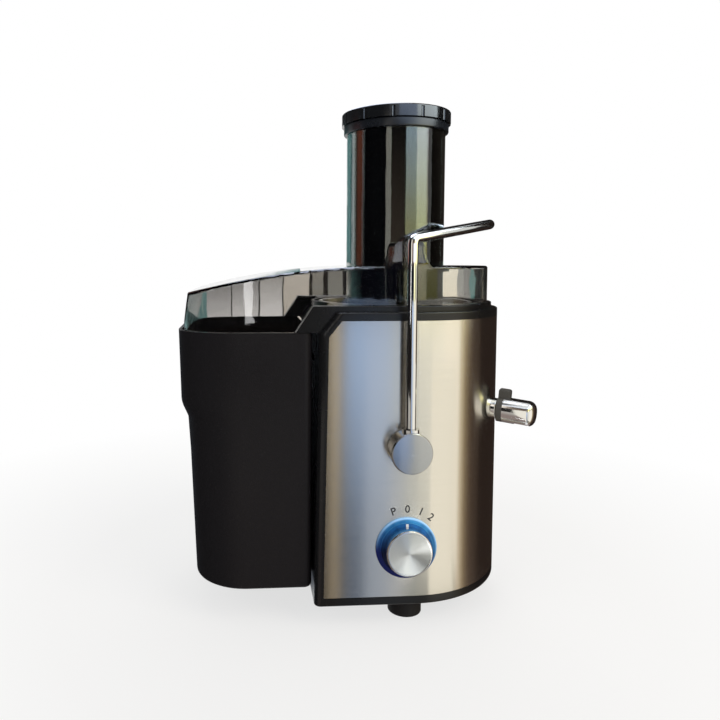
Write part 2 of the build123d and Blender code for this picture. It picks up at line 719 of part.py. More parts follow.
def feed_chute():
    """Clear tube from the mouth down to the grating disc, with a stop ring under the lid."""
    pipe = tube(CHUTE_R, CHUTE_BORE, CHUTE_FOOT, CHUTE_TOP)
    ring = tube(CHUTE_R + 2 * CHUTE_T, CHUTE_BORE, LID_TOP - LID_T - CHUTE_T, LID_TOP)
    return pipe + (ring & lid_outline(LID_T + GLUE, BODY_Z))


# Pusher

def pusher_body():
    """Hollow plunger with a collar that stops on the chute."""
    body = disc(PUSHER_R, PUSHER_FOOT, CAP_Z - GLUE)
    body = fillet(body.faces().sort_by(Axis.Z)[0].edges(), PUSHER_T)
    body += fillet(disc(COLLAR_R, COLLAR_Z, CAP_Z - GLUE).edges().filter_by(GeomType.CIRCLE), EDGE_R / 2)
    return body - disc(PUSHER_R - PUSHER_T, PUSHER_FOOT + PUSHER_T, CAP_Z + 1)


def pusher_cap():
    """Grooved cap plugged into the pusher."""
    cap = round_top(disc(CAP_R, CAP_Z, CAP_Z + CAP_H), EDGE_R)
    for x, y, _ in polar(CAP_GROOVES, CAP_R + GROOVE_R / 3, 15):
        cap -= disc(GROOVE_R, CAP_Z - 1, CAP_Z + CAP_H - GROOVE_R, x, y)
    cap -= disc(CAP_R - 3 * EDGE_R, CAP_Z + CAP_H - EDGE_R, CAP_Z + CAP_H + 1)
    plug = PUSHER_R - PUSHER_T - GLUE
    return cap + tube(plug, plug - PUSHER_T, CAP_Z - CAP_PLUG, CAP_Z + 1)


# Locking bail and its interlock

def locking_bail():
    """Bent rod: an arm each side, slanting bars and a crossbar round the chute."""
    foot_z, far = PIVOT_Z + AXLE_R + 2, PIVOT_X + BAR_REACH
    path = bent_path([
        (PIVOT_X, -ARM_Y, foot_z), (PIVOT_X, -ARM_Y, ELBOW_Z), (far, -BAR_HALF, BAR_Z),
        (far, BAR_HALF, BAR_Z), (PIVOT_X, ARM_Y, ELBOW_Z), (PIVOT_X, ARM_Y, foot_z),
    ], [ELBOW_BEND, BAR_BEND, BAR_BEND, ELBOW_BEND])
    return sweep(Plane(origin=(PIVOT_X, -ARM_Y, foot_z), z_dir=(0, 0, 1)) * Circle(ROD_R), path=path)


def bail_hub(sign):
    """Round hub with a neck for the bail's arm."""
    plane = side(sign, PIVOT_X, PIVOT_Z)
    low, high = BODY_R + HUB_START, BODY_R + HUB_START + HUB_L
    hub = disc(HUB_R, low, high)
    hub = plane * fillet(hub.faces().sort_by(Axis.Z)[0].edges(), EDGE_R)
    hub += disc(NECK_R, PIVOT_Z, PIVOT_Z + NECK_UP, PIVOT_X, sign * ARM_Y) & plane * disc(
        FAR, low, ARM_Y + NECK_R)
    hub -= disc(ROD_R + GLUE, PIVOT_Z + AXLE_R + 1, PIVOT_Z + NECK_UP + 1, PIVOT_X, sign * ARM_Y)
    hub -= plane * disc(HUB_R + GLUE, high, FAR)
    return hub - plane * disc(AXLE_R + GLUE, low - 1, high - 2)


def pivot_cap(sign):
    """Domed disc over the hub."""
    z0 = BODY_R + HUB_START + HUB_L + GLUE
    radius = (HUB_R ** 2 + CAP_BULGE ** 2) / (2 * CAP_BULGE)
    ball = Pos(0, 0, z0 + CAP_DOME - radius) * Sphere(radius)
    cap = disc(HUB_R, z0, z0 + CAP_DOME) & ball
    rim = z0 + CAP_DOME - CAP_BULGE
    edges = cap.edges().filter_by_position(Axis.Z, rim - SEAT, rim + SEAT)
    return side(sign, PIVOT_X, PIVOT_Z) * fillet(edges, EDGE_R)


def pivot_axle(sign):
    """Stub axle from the hub through the wall."""
    end = BODY_R + HUB_START + HUB_L - 2 - GLUE
    axle = disc(AXLE_R, BODY_R - AXLE_IN, end)
    groove = tube(AXLE_R + 1, AXLE_R - 1, BODY_R - AXLE_IN + 1, BODY_R - AXLE_IN + 1 + CLIP_T + 2 * GLUE)
    return side(sign, PIVOT_X, PIVOT_Z) * (axle - groove)


def axle_clips():
    """Spring clips in the axles' grooves."""
    low = BODY_R - AXLE_IN + 1 + GLUE
    for sign in (-1, 1):
        clip = tube(AXLE_R + 3, AXLE_R - 1 + GLUE, low, low + CLIP_T)
        mouth = block(-AXLE_R + 2, AXLE_R - 2, -AXLE_R - 4, 0, low - 1, low + CLIP_T + 1)
        yield side(sign, PIVOT_X, PIVOT_Z) * (clip - mouth)


def pivot_bush(sign):
    """Flanged bush that the axle turns in."""
    inner = INNER_R - BUSH_FLANGE
    bush = disc(BUSH_R, inner, BODY_R + HUB_START / 2)
    bush += disc(BUSH_R + BUSH_FLANGE, inner, INNER_R - GLUE)
    return side(sign, PIVOT_X, PIVOT_Z) * (bush - disc(AXLE_R + RUN, inner - 1, BODY_R + HUB_START))


CAM_OUT = INNER_R - BUSH_FLANGE - SEAT
CAM_IN = CAM_OUT - CAM_T


def interlock_cam():
    """Spiral cam on the rear axle, so that the button's travel follows the bail's swing evenly."""
    def rim(a):
        radius = CAM_R - CAM_FALL * a / BAIL_SWING
        return -radius * math.cos(math.radians(a)), -radius * math.sin(math.radians(a))
    first, last, steps = -20.0, BAIL_SWING + 20.0, 9
    spiral = [rim(first + (last - first) * i / (steps - 1)) for i in range(steps)]
    back = CAM_R - CAM_FALL
    heel = (back * math.cos(math.radians(48)), back * math.sin(math.radians(48)))
    outline = make_face([Spline(*spiral), ThreePointArc(spiral[-1], heel, spiral[0])])
    face = Plane.XZ * outline
    plate = Pos(PIVOT_X, CAM_OUT, PIVOT_Z) * extrude(face, CAM_T)
    return plate - side(1, PIVOT_X, PIVOT_Z) * disc(AXLE_R + GLUE, CAM_IN - 1, CAM_OUT + 1)


def interlock_button():
    """Plunger of the safety switch, riding on the cam."""
    tip = PIVOT_X - CAM_R - BUTTON_GAP
    mid = (CAM_IN + CAM_OUT) / 2
    half = BUTTON_W / 2
    pin = block(tip - BUTTON_L, tip, mid - half, mid + half, PIVOT_Z - half, PIVOT_Z + half)
    return fillet(pin.edges().filter_by(Axis.Y).group_by(Axis.X)[-1], half - 2 * GLUE)


def switch_box():
    """Corners of the safety switch, as x, y and z pairs."""
    x1 = PIVOT_X - CAM_R - BUTTON_GAP - CAM_FALL - 1
    mid = (CAM_IN + CAM_OUT) / 2
    return (x1 - SWITCH_L, x1, mid - SWITCH_W / 2, mid + SWITCH_W / 2,
            PIVOT_Z - SWITCH_H / 2, PIVOT_Z + SWITCH_H / 2)


def interlock_switch():
    """Safety switch on its rest, with a guide hole for the button."""
    x0, x1, y0, y1, z0, z1 = switch_box()
    half = BUTTON_W / 2 + RUN * 2
    mid = (y0 + y1) / 2
    body = fillet(block(x0, x1, y0, y1, z0, z1).edges().filter_by(Axis.Y), 1)
    return body - block(x1 - BUTTON_L, x1 + 1, mid - half, mid + half, PIVOT_Z - half, PIVOT_Z + half)


def switch_rest():
    """Pad on the motor shelf that carries the safety switch."""
    x0, x1, y0, y1, z0, _ = switch_box()
    return block(x0, x1, y0, y1, SHELF_Z - 1, z0 - GLUE)


# Dial

def dial_ring():
    """Light ring on the wall: a stepped lens with four light pipes through the wall."""
    front = side(-1, DIAL_X, DIAL_Z)
    ring = disc(DIAL_R, BODY_R - WALL, BODY_R + DIAL_T)
    ring = fillet(ring.faces().sort_by(Axis.Z)[-1].edges(), EDGE_R / 2)
    ring += disc(DIAL_STEP_R, BODY_R + DIAL_T, BODY_R + DIAL_STEP)
    ring -= disc(SKIRT_R + SEAT, BODY_R + DIAL_T / 2, BODY_R + DIAL_STEP + 1)
    ring -= disc(BUSHING_R + GLUE, BODY_R - WALL - 1, BODY_R + DIAL_STEP + 1)
    lens = front * ring - slab(d_plan(BODY_R + GLUE, LEFT_PLAN, CORNER_R), 0, DECK_Z)
    for x, y, _ in LIGHTS:
        lens += front * disc(PIPE_R, INNER_R - BOARD_GAP + GLUE, BODY_R + DIAL_T / 2, x, y)
    return lens


SKIRT_LOW = BODY_R + DIAL_T / 2 + SEAT
KNOB_LOW = SKIRT_LOW + SKIRT_T


def knob_skirt():
    """Tinted disc behind the knob that carries the pointer."""
    skirt = disc(SKIRT_R, SKIRT_LOW, KNOB_LOW - GLUE)
    skirt = fillet(skirt.faces().sort_by(Axis.Z)[-1].edges(), EDGE_R / 2)
    return side(-1, DIAL_X, DIAL_Z) * (skirt - disc(STEM_R + GLUE, SKIRT_LOW - 1, KNOB_LOW + 1)
                                       - disc(BUSHING_R + SEAT, SKIRT_LOW - 1, bushing_end() + SEAT))


def bushing_end():
    """Outer end of the selector's threaded bushing."""
    return SKIRT_LOW + SKIRT_T / 4


def control_knob():
    """Turned knob with a recess for its spun face."""
    knob = disc(KNOB_R, KNOB_LOW, KNOB_LOW + KNOB_L)
    knob = fillet(knob.faces().sort_by(Axis.Z)[-1].edges(), EDGE_R)
    knob -= disc(KNOB_FACE_R + GLUE, KNOB_LOW + KNOB_L - KNOB_FACE_T, KNOB_LOW + KNOB_L + 1)
    stem = stem_end() + GLUE
    return side(-1, DIAL_X, DIAL_Z) * (knob - disc(STEM_R + GLUE, KNOB_LOW - 1, stem))


def stem_end():
    """Outer end of the selector's stem, inside the knob."""
    return KNOB_LOW + KNOB_L * 0.6


def knob_face():
    """Spun metal disc in the knob's face."""
    z0 = KNOB_LOW + KNOB_L - KNOB_FACE_T + GLUE
    return side(-1, DIAL_X, DIAL_Z) * disc(KNOB_FACE_R, z0, z0 + KNOB_FACE_T)


SELECTOR_FRONT = INNER_R - BOARD_GAP - BOARD_T - GLUE


def led_board():
    """Ring-shaped lamp board behind the wall."""
    board = tube(BOARD_R, BUSHING_R + GLUE, SELECTOR_FRONT + GLUE, INNER_R - BOARD_GAP)
    return side(-1, DIAL_X, DIAL_Z) * board


def rotary_switch():
    """Speed selector with a bushing through the wall."""
    body = block(-SELECTOR_W / 2, SELECTOR_W / 2, -SELECTOR_W / 2, SELECTOR_W / 2,
                 SELECTOR_FRONT - SELECTOR_D, SELECTOR_FRONT)
    body = fillet(body.edges().filter_by(Axis.Z), 3)
    body += disc(BUSHING_R, SELECTOR_FRONT - 1, bushing_end())
    return side(-1, DIAL_X, DIAL_Z) * (body - disc(STEM_R + RUN, stem_start() - GLUE, BODY_R + 20))


def stem_start():
    """Inner end of the selector's stem."""
    return SELECTOR_FRONT - SELECTOR_D / 2


def selector_stem():
    """Stem that the knob turns."""
    return side(-1, DIAL_X, DIAL_Z) * disc(STEM_R, stem_start(), stem_end())


# Spout

RING_AT = COLLAR_OUT_L + SEAT
TUBE_AT = RING_AT + TURN_RING_L
TIP_AT = TUBE_AT + SPOUT_L


def spout_collar():
    """Bright collar on the wall round the outlet."""
    collar = tube(COLLAR_OUT_R, ELBOW_R + GLUE, -WALL, COLLAR_OUT_L)
    collar = fillet(collar.faces().sort_by(Axis.Z)[-1].outer_wire().edges(), EDGE_R)
    return SPOUT * collar - disc(BODY_R + GLUE, 0, DECK_Z)


def outlet_elbow():
    """Channel from the bowl's drain through the wall, ending in a spigot for the spout."""
    inner = -(BODY_R - DRAIN_AT) - ELBOW_END
    arm = disc(ELBOW_R, inner, TUBE_AT + SPIGOT_L)
    seat = INNER_R - BODY_R - ELBOW_FLANGE_R ** 2 / (2 * INNER_R) - 1
    arm += disc(ELBOW_FLANGE_R, seat - ELBOW_FLANGE_T, seat)
    body = SPOUT * arm
    socket = DRAIN_R + BOWL_WALL / 2
    body += disc(socket + SEAT + ELBOW_WALL, SPOUT_Z, BOWL_Z - SEAT, *DRAIN)
    body -= SPOUT * disc(ELBOW_R - ELBOW_WALL, inner + ELBOW_WALL, TUBE_AT + SPIGOT_L + 1)
    body -= disc(socket + SEAT, drain_foot() - SEAT, BOWL_Z + 1, *DRAIN)
    body -= disc(DRAIN_R, SPOUT_Z, BOWL_Z + 1, *DRAIN)
    rest = disc(ELBOW_R * 0.6, SHELF_Z + GLUE, SPOUT_Z, *DRAIN)
    return body + (rest - SPOUT * disc(ELBOW_R - 0.5, inner, 0))


def turn_ring():
    """Black ring with the thumb tab that turns the spout."""
    ring = tube(TURN_RING_R, SPOUT_BORE + SEAT, RING_AT, TUBE_AT)
    ring = fillet(ring.edges().filter_by(GeomType.CIRCLE), EDGE_R / 4)
    tab = block(-TAB_W / 2, TAB_W / 2, SPOUT_R - 1, TURN_RING_R + TAB_H, RING_AT, RING_AT + TAB_L)
    tab = fillet(tab.faces().sort_by(Axis.Y)[-1].edges(), TAB_ROUND)
    tab -= disc(SPOUT_R + GLUE, TUBE_AT, TUBE_AT + TAB_L)
    return SPOUT * (ring + tab)


def spout_tube():
    """Barrel with a round closed end and its outlet below, free to turn on the elbow's spigot."""
    low, chamber = TUBE_AT + GLUE, TUBE_AT + SPIGOT_L + SEAT
    body = disc(SPOUT_R, low, TIP_AT)
    body = fillet(body.faces().sort_by(Axis.Z)[-1].edges(), SPOUT_ROUND)
    hollow = disc(SPOUT_R - SPOUT_T, chamber, TIP_AT - SPOUT_T)
    hollow = fillet(hollow.faces().sort_by(Axis.Z)[-1].edges(), SPOUT_ROUND - SPOUT_T)
    body -= hollow + disc(SPOUT_BORE, low - 1, chamber + 1)
    mouth_end = TIP_AT - MOUTH_IN
    return SPOUT * (body - block(-MOUTH_W / 2, MOUTH_W / 2, -FAR, 0, mouth_end - MOUTH_L, mouth_end))


# Motor and filter

def motor_mounts():
    """Rubber pads between the motor and its shelf."""
    for x, y in MOUNTS:
        yield tube(MOUNT_R, SCREW_R + GLUE, MOUNT_Z + GLUE, SHELF_Z - SHELF_T - GLUE, x, y)


def motor_screws():
    """Screws through the shelf, the pads and the upper bracket."""
    for x, y in MOUNTS:
        shank = disc(SCREW_R, UPPER_Z, SHELF_Z + GLUE, x, y)
        yield shank + disc(SCREW_HEAD_R, SHELF_Z + GLUE, SHELF_Z + 2.5, x, y)


def bracket_plate(z0):
    """Cross-shaped bearing plate."""
    plate = slab(RectangleRounded(2 * BRACKET_R, BRACKET_W, 5), z0, z0 + BRACKET_T)
    return plate + slab(RectangleRounded(BRACKET_W, 2 * BRACKET_R, 5), z0, z0 + BRACKET_T)


def legs(z0, z1):
    """Two posts at the sides of the stator."""
    both = Part()
    for s in (-1, 1):
        middle = s * (STATOR_R - LEG_W / 2 - 1)
        both += block(middle - LEG_W / 2, middle + LEG_W / 2, -LEG_W, LEG_W, z0, z1)
    return both


def bearing_seat(z0, z1, low):
    """Boss round a bearing, with its bore."""
    return (disc(BEARING_R + SEAT_WALL, z0, z1),
            disc(BEARING_R + GLUE, low, low + BEARING_H + 2 * GLUE))


def motor_bracket_upper():
    """Upper bracket, hung from the shelf."""
    boss, bore = bearing_seat(UPPER_Z - 6, UPPER_Z + BRACKET_T, UPPER_Z - 6)
    body = bracket_plate(UPPER_Z) + boss + legs(STATOR_TOP + GLUE, UPPER_Z + 1)
    for x, y in MOUNTS:
        body -= disc(SCREW_R + GLUE, UPPER_Z - 1, UPPER_Z + BRACKET_T + 1, x, y)
    return body - bore - disc(SHAFT_R + 2, 0, DECK_Z)


def motor_bracket_lower():
    """Lower bracket with the brush pedestals."""
    top = LOWER_Z + BRACKET_T + 5
    boss, bore = bearing_seat(LOWER_Z, top, top - BEARING_H)
    body = bracket_plate(LOWER_Z) + boss + legs(LOWER_Z, STATOR_Z - GLUE)
    body -= bore + disc(SHAFT_R + 2, 0, DECK_Z)
    for s in (-1, 1):
        y0, y1 = sorted((s * BRUSH_FROM, s * (BRUSH_FROM + BRUSH_L - 3)))
        body += block(-BRUSH_W / 2, BRUSH_W / 2, y0, y1, LOWER_Z + 1, HOLDER_Z - GLUE)
    return body


UPPER_BEARING_Z = UPPER_Z - 6
LOWER_BEARING_Z = LOWER_Z + BRACKET_T + 5 - BEARING_H
COMMUTATOR_Z = LOWER_Z + BRACKET_T + 5 + 2
BRUSH_Z = COMMUTATOR_Z + COMMUTATOR_H / 2
HOLDER_Z = BRUSH_Z - BRUSH_W / 2 - HOLDER_T
BRUSH_FROM = COMMUTATOR_R + SEAT + 4


def bearing(z0):
    """Ball bearing, as one ring."""
    return tube(BEARING_R, SHAFT_R + RUN, z0 + GLUE, z0 + GLUE + BEARING_H)


def brush_holders():
    """Brass sleeves that guide the brushes."""
    outer = BRUSH_W / 2 + HOLDER_T
    inner = BRUSH_W / 2 + GLUE
    for s in (-1, 1):
        y0, y1 = sorted((s * BRUSH_FROM, s * (BRUSH_FROM + BRUSH_L)))
        sleeve = block(-outer, outer, y0, y1, BRUSH_Z - outer, BRUSH_Z + outer)
        yield sleeve - block(-inner, inner, y0 - 1, y1 + 1, BRUSH_Z - inner, BRUSH_Z + inner)


def carbon_brushes():
    """Carbon blocks that meet the commutator."""
    half = BRUSH_W / 2
    for s in (-1, 1):
        y0, y1 = sorted((s * (COMMUTATOR_R + SEAT), s * (COMMUTATOR_R + SEAT + BRUSH_L)))
        yield block(-half, half, y0, y1, BRUSH_Z - half, BRUSH_Z + half)


COIL_IN, COIL_OUT = STATOR_BORE + 3.0, STATOR_R - 4.0
COIL_HALF = 42.0


def sector(r_in, r_out, middle, half, z0, z1):
    """Part of a ring between two heights, over a span of degrees."""
    wedge = [(0, 0)]
    for a in (middle - half, middle, middle + half):
        wedge.append((FAR * math.cos(math.radians(a)), FAR * math.sin(math.radians(a))))
    return tube(r_out, r_in, z0, z1) & slab(make_face(Polyline(*wedge, close=True)), z0, z1)


def stator():
    """Laminated field with slots for its coils."""
    core = tube(STATOR_R, STATOR_BORE, STATOR_Z, STATOR_TOP)
    for middle in (90, 270):
        for edge in (-1, 1):
            core -= sector(COIL_IN - GLUE, COIL_OUT + GLUE, middle + edge * COIL_HALF, 9.2,
                           STATOR_Z - 1, STATOR_TOP + 1)
    return core


def field_coils():
    """Two wound coils: an end turn at the top and bottom of the field and two runs through its slots."""
    for middle in (90, 270):
        coil = Part()
        for z0, z1 in ((STATOR_Z - END_TURN, STATOR_Z - GLUE), (STATOR_TOP + GLUE, STATOR_TOP + END_TURN)):
            coil += sector(COIL_IN, COIL_OUT, middle, COIL_HALF + 9, z0, z1)
        for edge in (-1, 1):
            coil += sector(COIL_IN, COIL_OUT, middle + edge * COIL_HALF, 9,
                           STATOR_Z - END_TURN, STATOR_TOP + END_TURN)
        yield coil


def shaft_seal():
    """Lip seal where the drive passes the shelf."""
    ring = tube(SEAL_R, COUPLING_R + SEAT, SHELF_Z - SHELF_T, SHELF_Z + SEAL_H)
    return ring + tube(SEAL_R + 2, SEAL_R - 1, SHELF_Z + GLUE, SHELF_Z + SEAL_H)


def motor_shaft():
    """Steel shaft through the motor into the drive coupling."""
    return disc(SHAFT_R, FAN_Z - 1, coupling_top() - COUPLING_R)


FAN_Z = LOWER_Z - 3 - FAN_H


def coupling_top():
    """Height at which the coupling's round body ends and its dog begins."""
    return CHIMNEY_TOP - 6


def armature():
    """Rotor core with its end windings."""
    core = disc(STATOR_BORE - AIR_GAP, STATOR_Z, STATOR_TOP)
    ends = disc(STATOR_BORE - 6, STATOR_Z - END_TURN + 2, STATOR_TOP + END_TURN)
    return core + ends - disc(SHAFT_R + GLUE, STATOR_Z - 20, STATOR_TOP + 20)


def commutator():
    """Copper ring that the brushes run on."""
    ring = disc(COMMUTATOR_R, COMMUTATOR_Z, COMMUTATOR_Z + COMMUTATOR_H)
    for _, _, a in polar(12, 1):
        ring -= Rot(0, 0, a) * block(COMMUTATOR_R - 1, COMMUTATOR_R + 1, -0.3, 0.3,
                                     COMMUTATOR_Z - 1, COMMUTATOR_Z + COMMUTATOR_H + 1)
    return ring - disc(SHAFT_R + GLUE, COMMUTATOR_Z - 1, COMMUTATOR_Z + COMMUTATOR_H + 1)


def cooling_fan():
    """Radial fan at the foot of the shaft."""
    fan = disc(FAN_R, FAN_Z + FAN_H - 1.5, FAN_Z + FAN_H) + disc(FAN_HUB_R, FAN_Z, FAN_Z + FAN_H)
    for _, _, a in polar(FAN_BLADES, 1):
        fan += Rot(0, 0, a) * block(FAN_HUB_R - 1, FAN_R - 1, -0.8, 0.8, FAN_Z, FAN_Z + FAN_H)
    return fan - disc(SHAFT_R + GLUE, FAN_Z - 1, FAN_Z + FAN_H + 1)


def dog(flats, z0, z1):
    """Six-sided drive dog."""
    return slab(RegularPolygon(flats / 2, 6, major_radius=False), z0, z1)


def drive_coupling():
    """Coupling on the shaft, ending in the dog that turns the basket."""
    body = disc(COUPLING_R, SHELF_Z - SHELF_T, coupling_top())
    body += dog(DOG_FLATS, coupling_top() - 1, coupling_top() + DOG_H)
    return body - disc(SHAFT_R + GLUE, SHELF_Z - SHELF_T - 1, coupling_top() - COUPLING_R + GLUE)


def basket_hub():
    """Moulded hub: plate, socket for the dog and a skirt outside the bowl's tube."""
    low = coupling_top() + SEAT
    hub = disc(GRATER_R + 1, HUB_Z, GRATER_Z)
    hub += disc(CHIMNEY_R - 1.5, low, GRATER_Z)
    skirt = CHIMNEY_R + BOWL_WALL + 1.5
    hub += tube(skirt + 2, skirt, CHIMNEY_TOP - CHIMNEY_H / 2, HUB_Z + 1)
    hub += disc(DOG_FLATS, GRATER_Z - 1, coupling_top() + DOG_H + 3)
    return hub - dog(DOG_FLATS + 2 * GLUE, low - 1, coupling_top() + DOG_H + GLUE)


def grating_disc():
    """Steel disc with rings of small teeth."""
    plate = tube(GRATER_R, DOG_FLATS + GLUE, GRATER_Z + GLUE, GRATER_Z + GRATER_T)
    for ring in range(TEETH_RINGS):
        radius = DOG_FLATS + 8 + ring * (GRATER_R - DOG_FLATS - 12) / (TEETH_RINGS - 1)
        for x, y, a in polar(TEETH, radius, 18 * ring):
            top = GRATER_Z + GRATER_T + 1.2
            plate += Pos(x, y, 0) * Rot(0, 0, a) * block(-0.5, 0.5, -1.5, 1.5, GRATER_Z + GRATER_T / 2, top)
    return plate


def filter_basket():
    """Conical sieve with a turned-out rim and an inner foot ring on the hub."""
    low, high = HUB_Z, FLANGE_Z - SEAT
    rim_z = high - SIEVE_RIM_H
    rim, inner, seat = SIEVE_TOP_R + SIEVE_RIM_W, SIEVE_TOP_R - SIEVE_T, GRATER_Z + GRATER_T
    profile = make_face(Polyline(
        (GRATER_R + 1 + GLUE, low), (SIEVE_FOOT_R, low), (SIEVE_TOP_R, rim_z), (rim, rim_z), (rim, high),
        (inner, high), (inner, rim_z), (SIEVE_FOOT_R - SIEVE_T, seat), (GRATER_R + 1 + GLUE, seat), close=True))
    return revolve(Plane.XZ * profile, Axis.Z)


def both_sides(name, make):
    """A piece at the front and its twin at the rear."""
    return {f"{name}_front": make(-1), f"{name}_rear": make(1)}


def assembly():
    """Every piece of the machine by name."""
    pieces = {
        "housing": housing(), "top_deck": top_deck(), "motor_shelf": motor_shelf(),
        "steel_wrap": steel_wrap(), "base_cover": base_cover(),
        "base_screws": list(base_screws()), "cord_gland": cord_gland(),
        "pulp_container": pulp_container(), "juice_bowl": juice_bowl(),
        "lid_cover": lid_cover(), "feed_chute": feed_chute(),
        "pusher_body": pusher_body(), "pusher_cap": pusher_cap(),
        "locking_bail": locking_bail(), "axle_clips": list(axle_clips()),
        "interlock_cam": interlock_cam(), "interlock_button": interlock_button(),
        "interlock_switch": interlock_switch(),
        "dial_ring": dial_ring(), "knob_skirt": knob_skirt(), "control_knob": control_knob(),
        "knob_face": knob_face(), "led_board": led_board(), "rotary_switch": rotary_switch(),
        "selector_stem": selector_stem(),
        "spout_collar": spout_collar(), "outlet_elbow": outlet_elbow(), "turn_ring": turn_ring(),
        "spout_tube": spout_tube(),
        "motor_mounts": list(motor_mounts()), "motor_screws": list(motor_screws()),
        "motor_bracket_upper": motor_bracket_upper(), "motor_bracket_lower": motor_bracket_lower(),
        "bearing_upper": bearing(UPPER_BEARING_Z), "bearing_lower": bearing(LOWER_BEARING_Z),
        "brush_holders": list(brush_holders()), "carbon_brushes": list(carbon_brushes()),
        "stator": stator(), "field_coils": list(field_coils()), "shaft_seal": shaft_seal(),
        "motor_shaft": motor_shaft(), "armature": armature(), "commutator": commutator(),
        "cooling_fan": cooling_fan(), "drive_coupling": drive_coupling(),
        "basket_hub": basket_hub(), "grating_disc": grating_disc(), "filter_basket": filter_basket(),
    }
    for name, place in FEET.items():
        pieces[name] = foot(*place)
    for name, make in (("bail_hub", bail_hub), ("pivot_cap", pivot_cap), ("pivot_axle", pivot_axle),
                       ("pivot_bush", pivot_bush)):
        pieces.update(both_sides(name, make))
    return {n: Compound(p) if isinstance(p, list) else p for n, p in pieces.items()}


PIECES = assembly()
WHOLE = Compound(list(PIECES.values())).bounding_box()
ORIGIN = (WHOLE.center().X, WHOLE.center().Y, WHOLE.min.Z)
PLACE = Pos(*(-v for v in ORIGIN))

os.makedirs("parts", exist_ok=True)
for node, piece in PIECES.items():
    export_step(PLACE * piece, f"parts/{node}.step")
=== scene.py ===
"""Looks of a centrifugal juice extractor: finishes, modelled details and a studio round its frame."""

import logging
import math
from dataclasses import dataclass
from enum import Enum

import bmesh
import bpy
from bmesh.types import BMEdge, BMesh, BMVert
from bpy.types import Material, Node, NodeSocket, NodeTree, Object
from mathutils import Matrix, Vector


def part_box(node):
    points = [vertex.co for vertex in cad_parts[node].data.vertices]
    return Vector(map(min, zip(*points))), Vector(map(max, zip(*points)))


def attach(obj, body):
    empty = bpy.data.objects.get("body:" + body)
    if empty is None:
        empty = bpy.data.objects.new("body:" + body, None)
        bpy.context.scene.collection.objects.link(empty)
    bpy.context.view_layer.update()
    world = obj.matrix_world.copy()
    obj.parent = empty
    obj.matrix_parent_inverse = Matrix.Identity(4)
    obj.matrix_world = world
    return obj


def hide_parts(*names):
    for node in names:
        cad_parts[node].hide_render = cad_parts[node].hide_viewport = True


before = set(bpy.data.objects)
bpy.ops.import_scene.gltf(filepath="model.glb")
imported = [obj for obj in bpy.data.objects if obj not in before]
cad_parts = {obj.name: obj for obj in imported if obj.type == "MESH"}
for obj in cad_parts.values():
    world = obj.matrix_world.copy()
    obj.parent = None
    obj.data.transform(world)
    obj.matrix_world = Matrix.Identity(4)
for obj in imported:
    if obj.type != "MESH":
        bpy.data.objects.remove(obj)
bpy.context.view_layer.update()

LOG = logging.getLogger("juicer")
MM = 0.001
UP = Vector((0, 0, 1))
WHITE = (1.0, 1.0, 1.0, 1.0)
# Points of a mesh that lie nearer than this are one
MERGE = 1e-6
# Edges that turn more than this many degrees are shaded crisp, or are rounded by soften
SHARP = 35.0
CRISP = 30.0
# Segments of most rounded edges
ROUND_STEPS = 3
# A quarter turn, as the shader counts it: highlights then smear across the lines of a worked metal
QUARTER = 0.25
# Height of a pattern's relief, as a share of its size
RELIEF = 0.25
# Most values of a noise pattern lie between these
NOISE_LOW, NOISE_HIGH = 0.3, 0.7
# Sockets of the Mix node when it mixes colours
SHARE, FIRST, SECOND, MIXED = 0, 6, 7, 2


class Body(Enum):
    """Bodies of the frame that new pieces ride on."""

    BASE = "base"
    PUSHER = "pusher"
    KNOB = "knob"
    ROTOR = "rotor"
    CONTAINER = "container"


class Slot(Enum):
    """Material slots of the record."""

    HOUSING = "housing_black"
    CONTAINER = "container_black"
    PUSHER = "pusher_dark"
    CAP = "cap_black"
    KNOB = "knob_metal"
    SIEVE = "sieve_steel"


class Lines(Enum):
    """The axis that the fine lines of a worked metal run round, if they have one."""

    ROUND_Z = "Z"
    ROUND_Y = "Y"
    NONE = ""


class Seen(Enum):
    """Which rays meet a card: mirrored ones, those through clear walls, both, or both after a mirror."""

    MIRRORED = "mirrored"
    THROUGH = "through"
    BOTH = "both"
    AFTER = "after"


class Tier(Enum):
    """Lowest and highest edge of a card, in metres, named for the card or for what mirrors it."""

    FOOT = (-0.7, -0.045)
    CLAY = (-0.7, -0.12)
    DARK = (-0.12, 0.246)
    REAR = (-0.12, 0.283)
    SKIN = (-0.7, 0.246)
    SIDE = (-0.7, 0.225)
    LINEN = (-0.7, 0.15)
    UPPER = (0.15, 0.225)
    CREAM = (-0.045, 0.246)
    LID = (0.225, 0.283)
    WALL = (0.246, 0.283)
    BACK = (0.16, 0.283)
    PANE = (0.205, 0.283)
    LUG = (0.284, 0.303)
    CHUTE = (0.283, 0.44)
    CAP = (0.44, 0.52)
    LIFT = (0.52, 0.8)
    SPOUT = (0.0, 0.2)
    UPPER_FAN = (0.05, 0.058)
    LOWER_FAN = (0.034, 0.046)
    OVERHEAD = (0.6, 0.6)


class Ring(Enum):
    """How far a card stands from the motor's axis, in metres: most, those behind them, by spout or dial."""

    MAIN = 0.25
    UNDER = 0.256
    SPOUT = 0.125
    DIAL = 0.137


def linear(colour: str) -> tuple[float, float, float, float]:
    """Turns an sRGB hex colour into linear light.

    Args:
        colour: Six hex digits after a hash mark.
    Returns:
        Red, green, blue and a full alpha.
    """
    parts = [int(colour[i:i + 2], 16) / 255 for i in (1, 3, 5)]
    low = 0.04045
    light = [c / 12.92 if c <= low else ((c + 0.055) / 1.055) ** 2.4 for c in parts]
    return light[0], light[1], light[2], 1.0


def shaded(colour: str, share: float) -> tuple[float, float, float, float]:
    """Linear light of a hex colour, made lighter or darker by a share."""
    red, green, blue, alpha = linear(colour)
    return red * share, green * share, blue * share, alpha


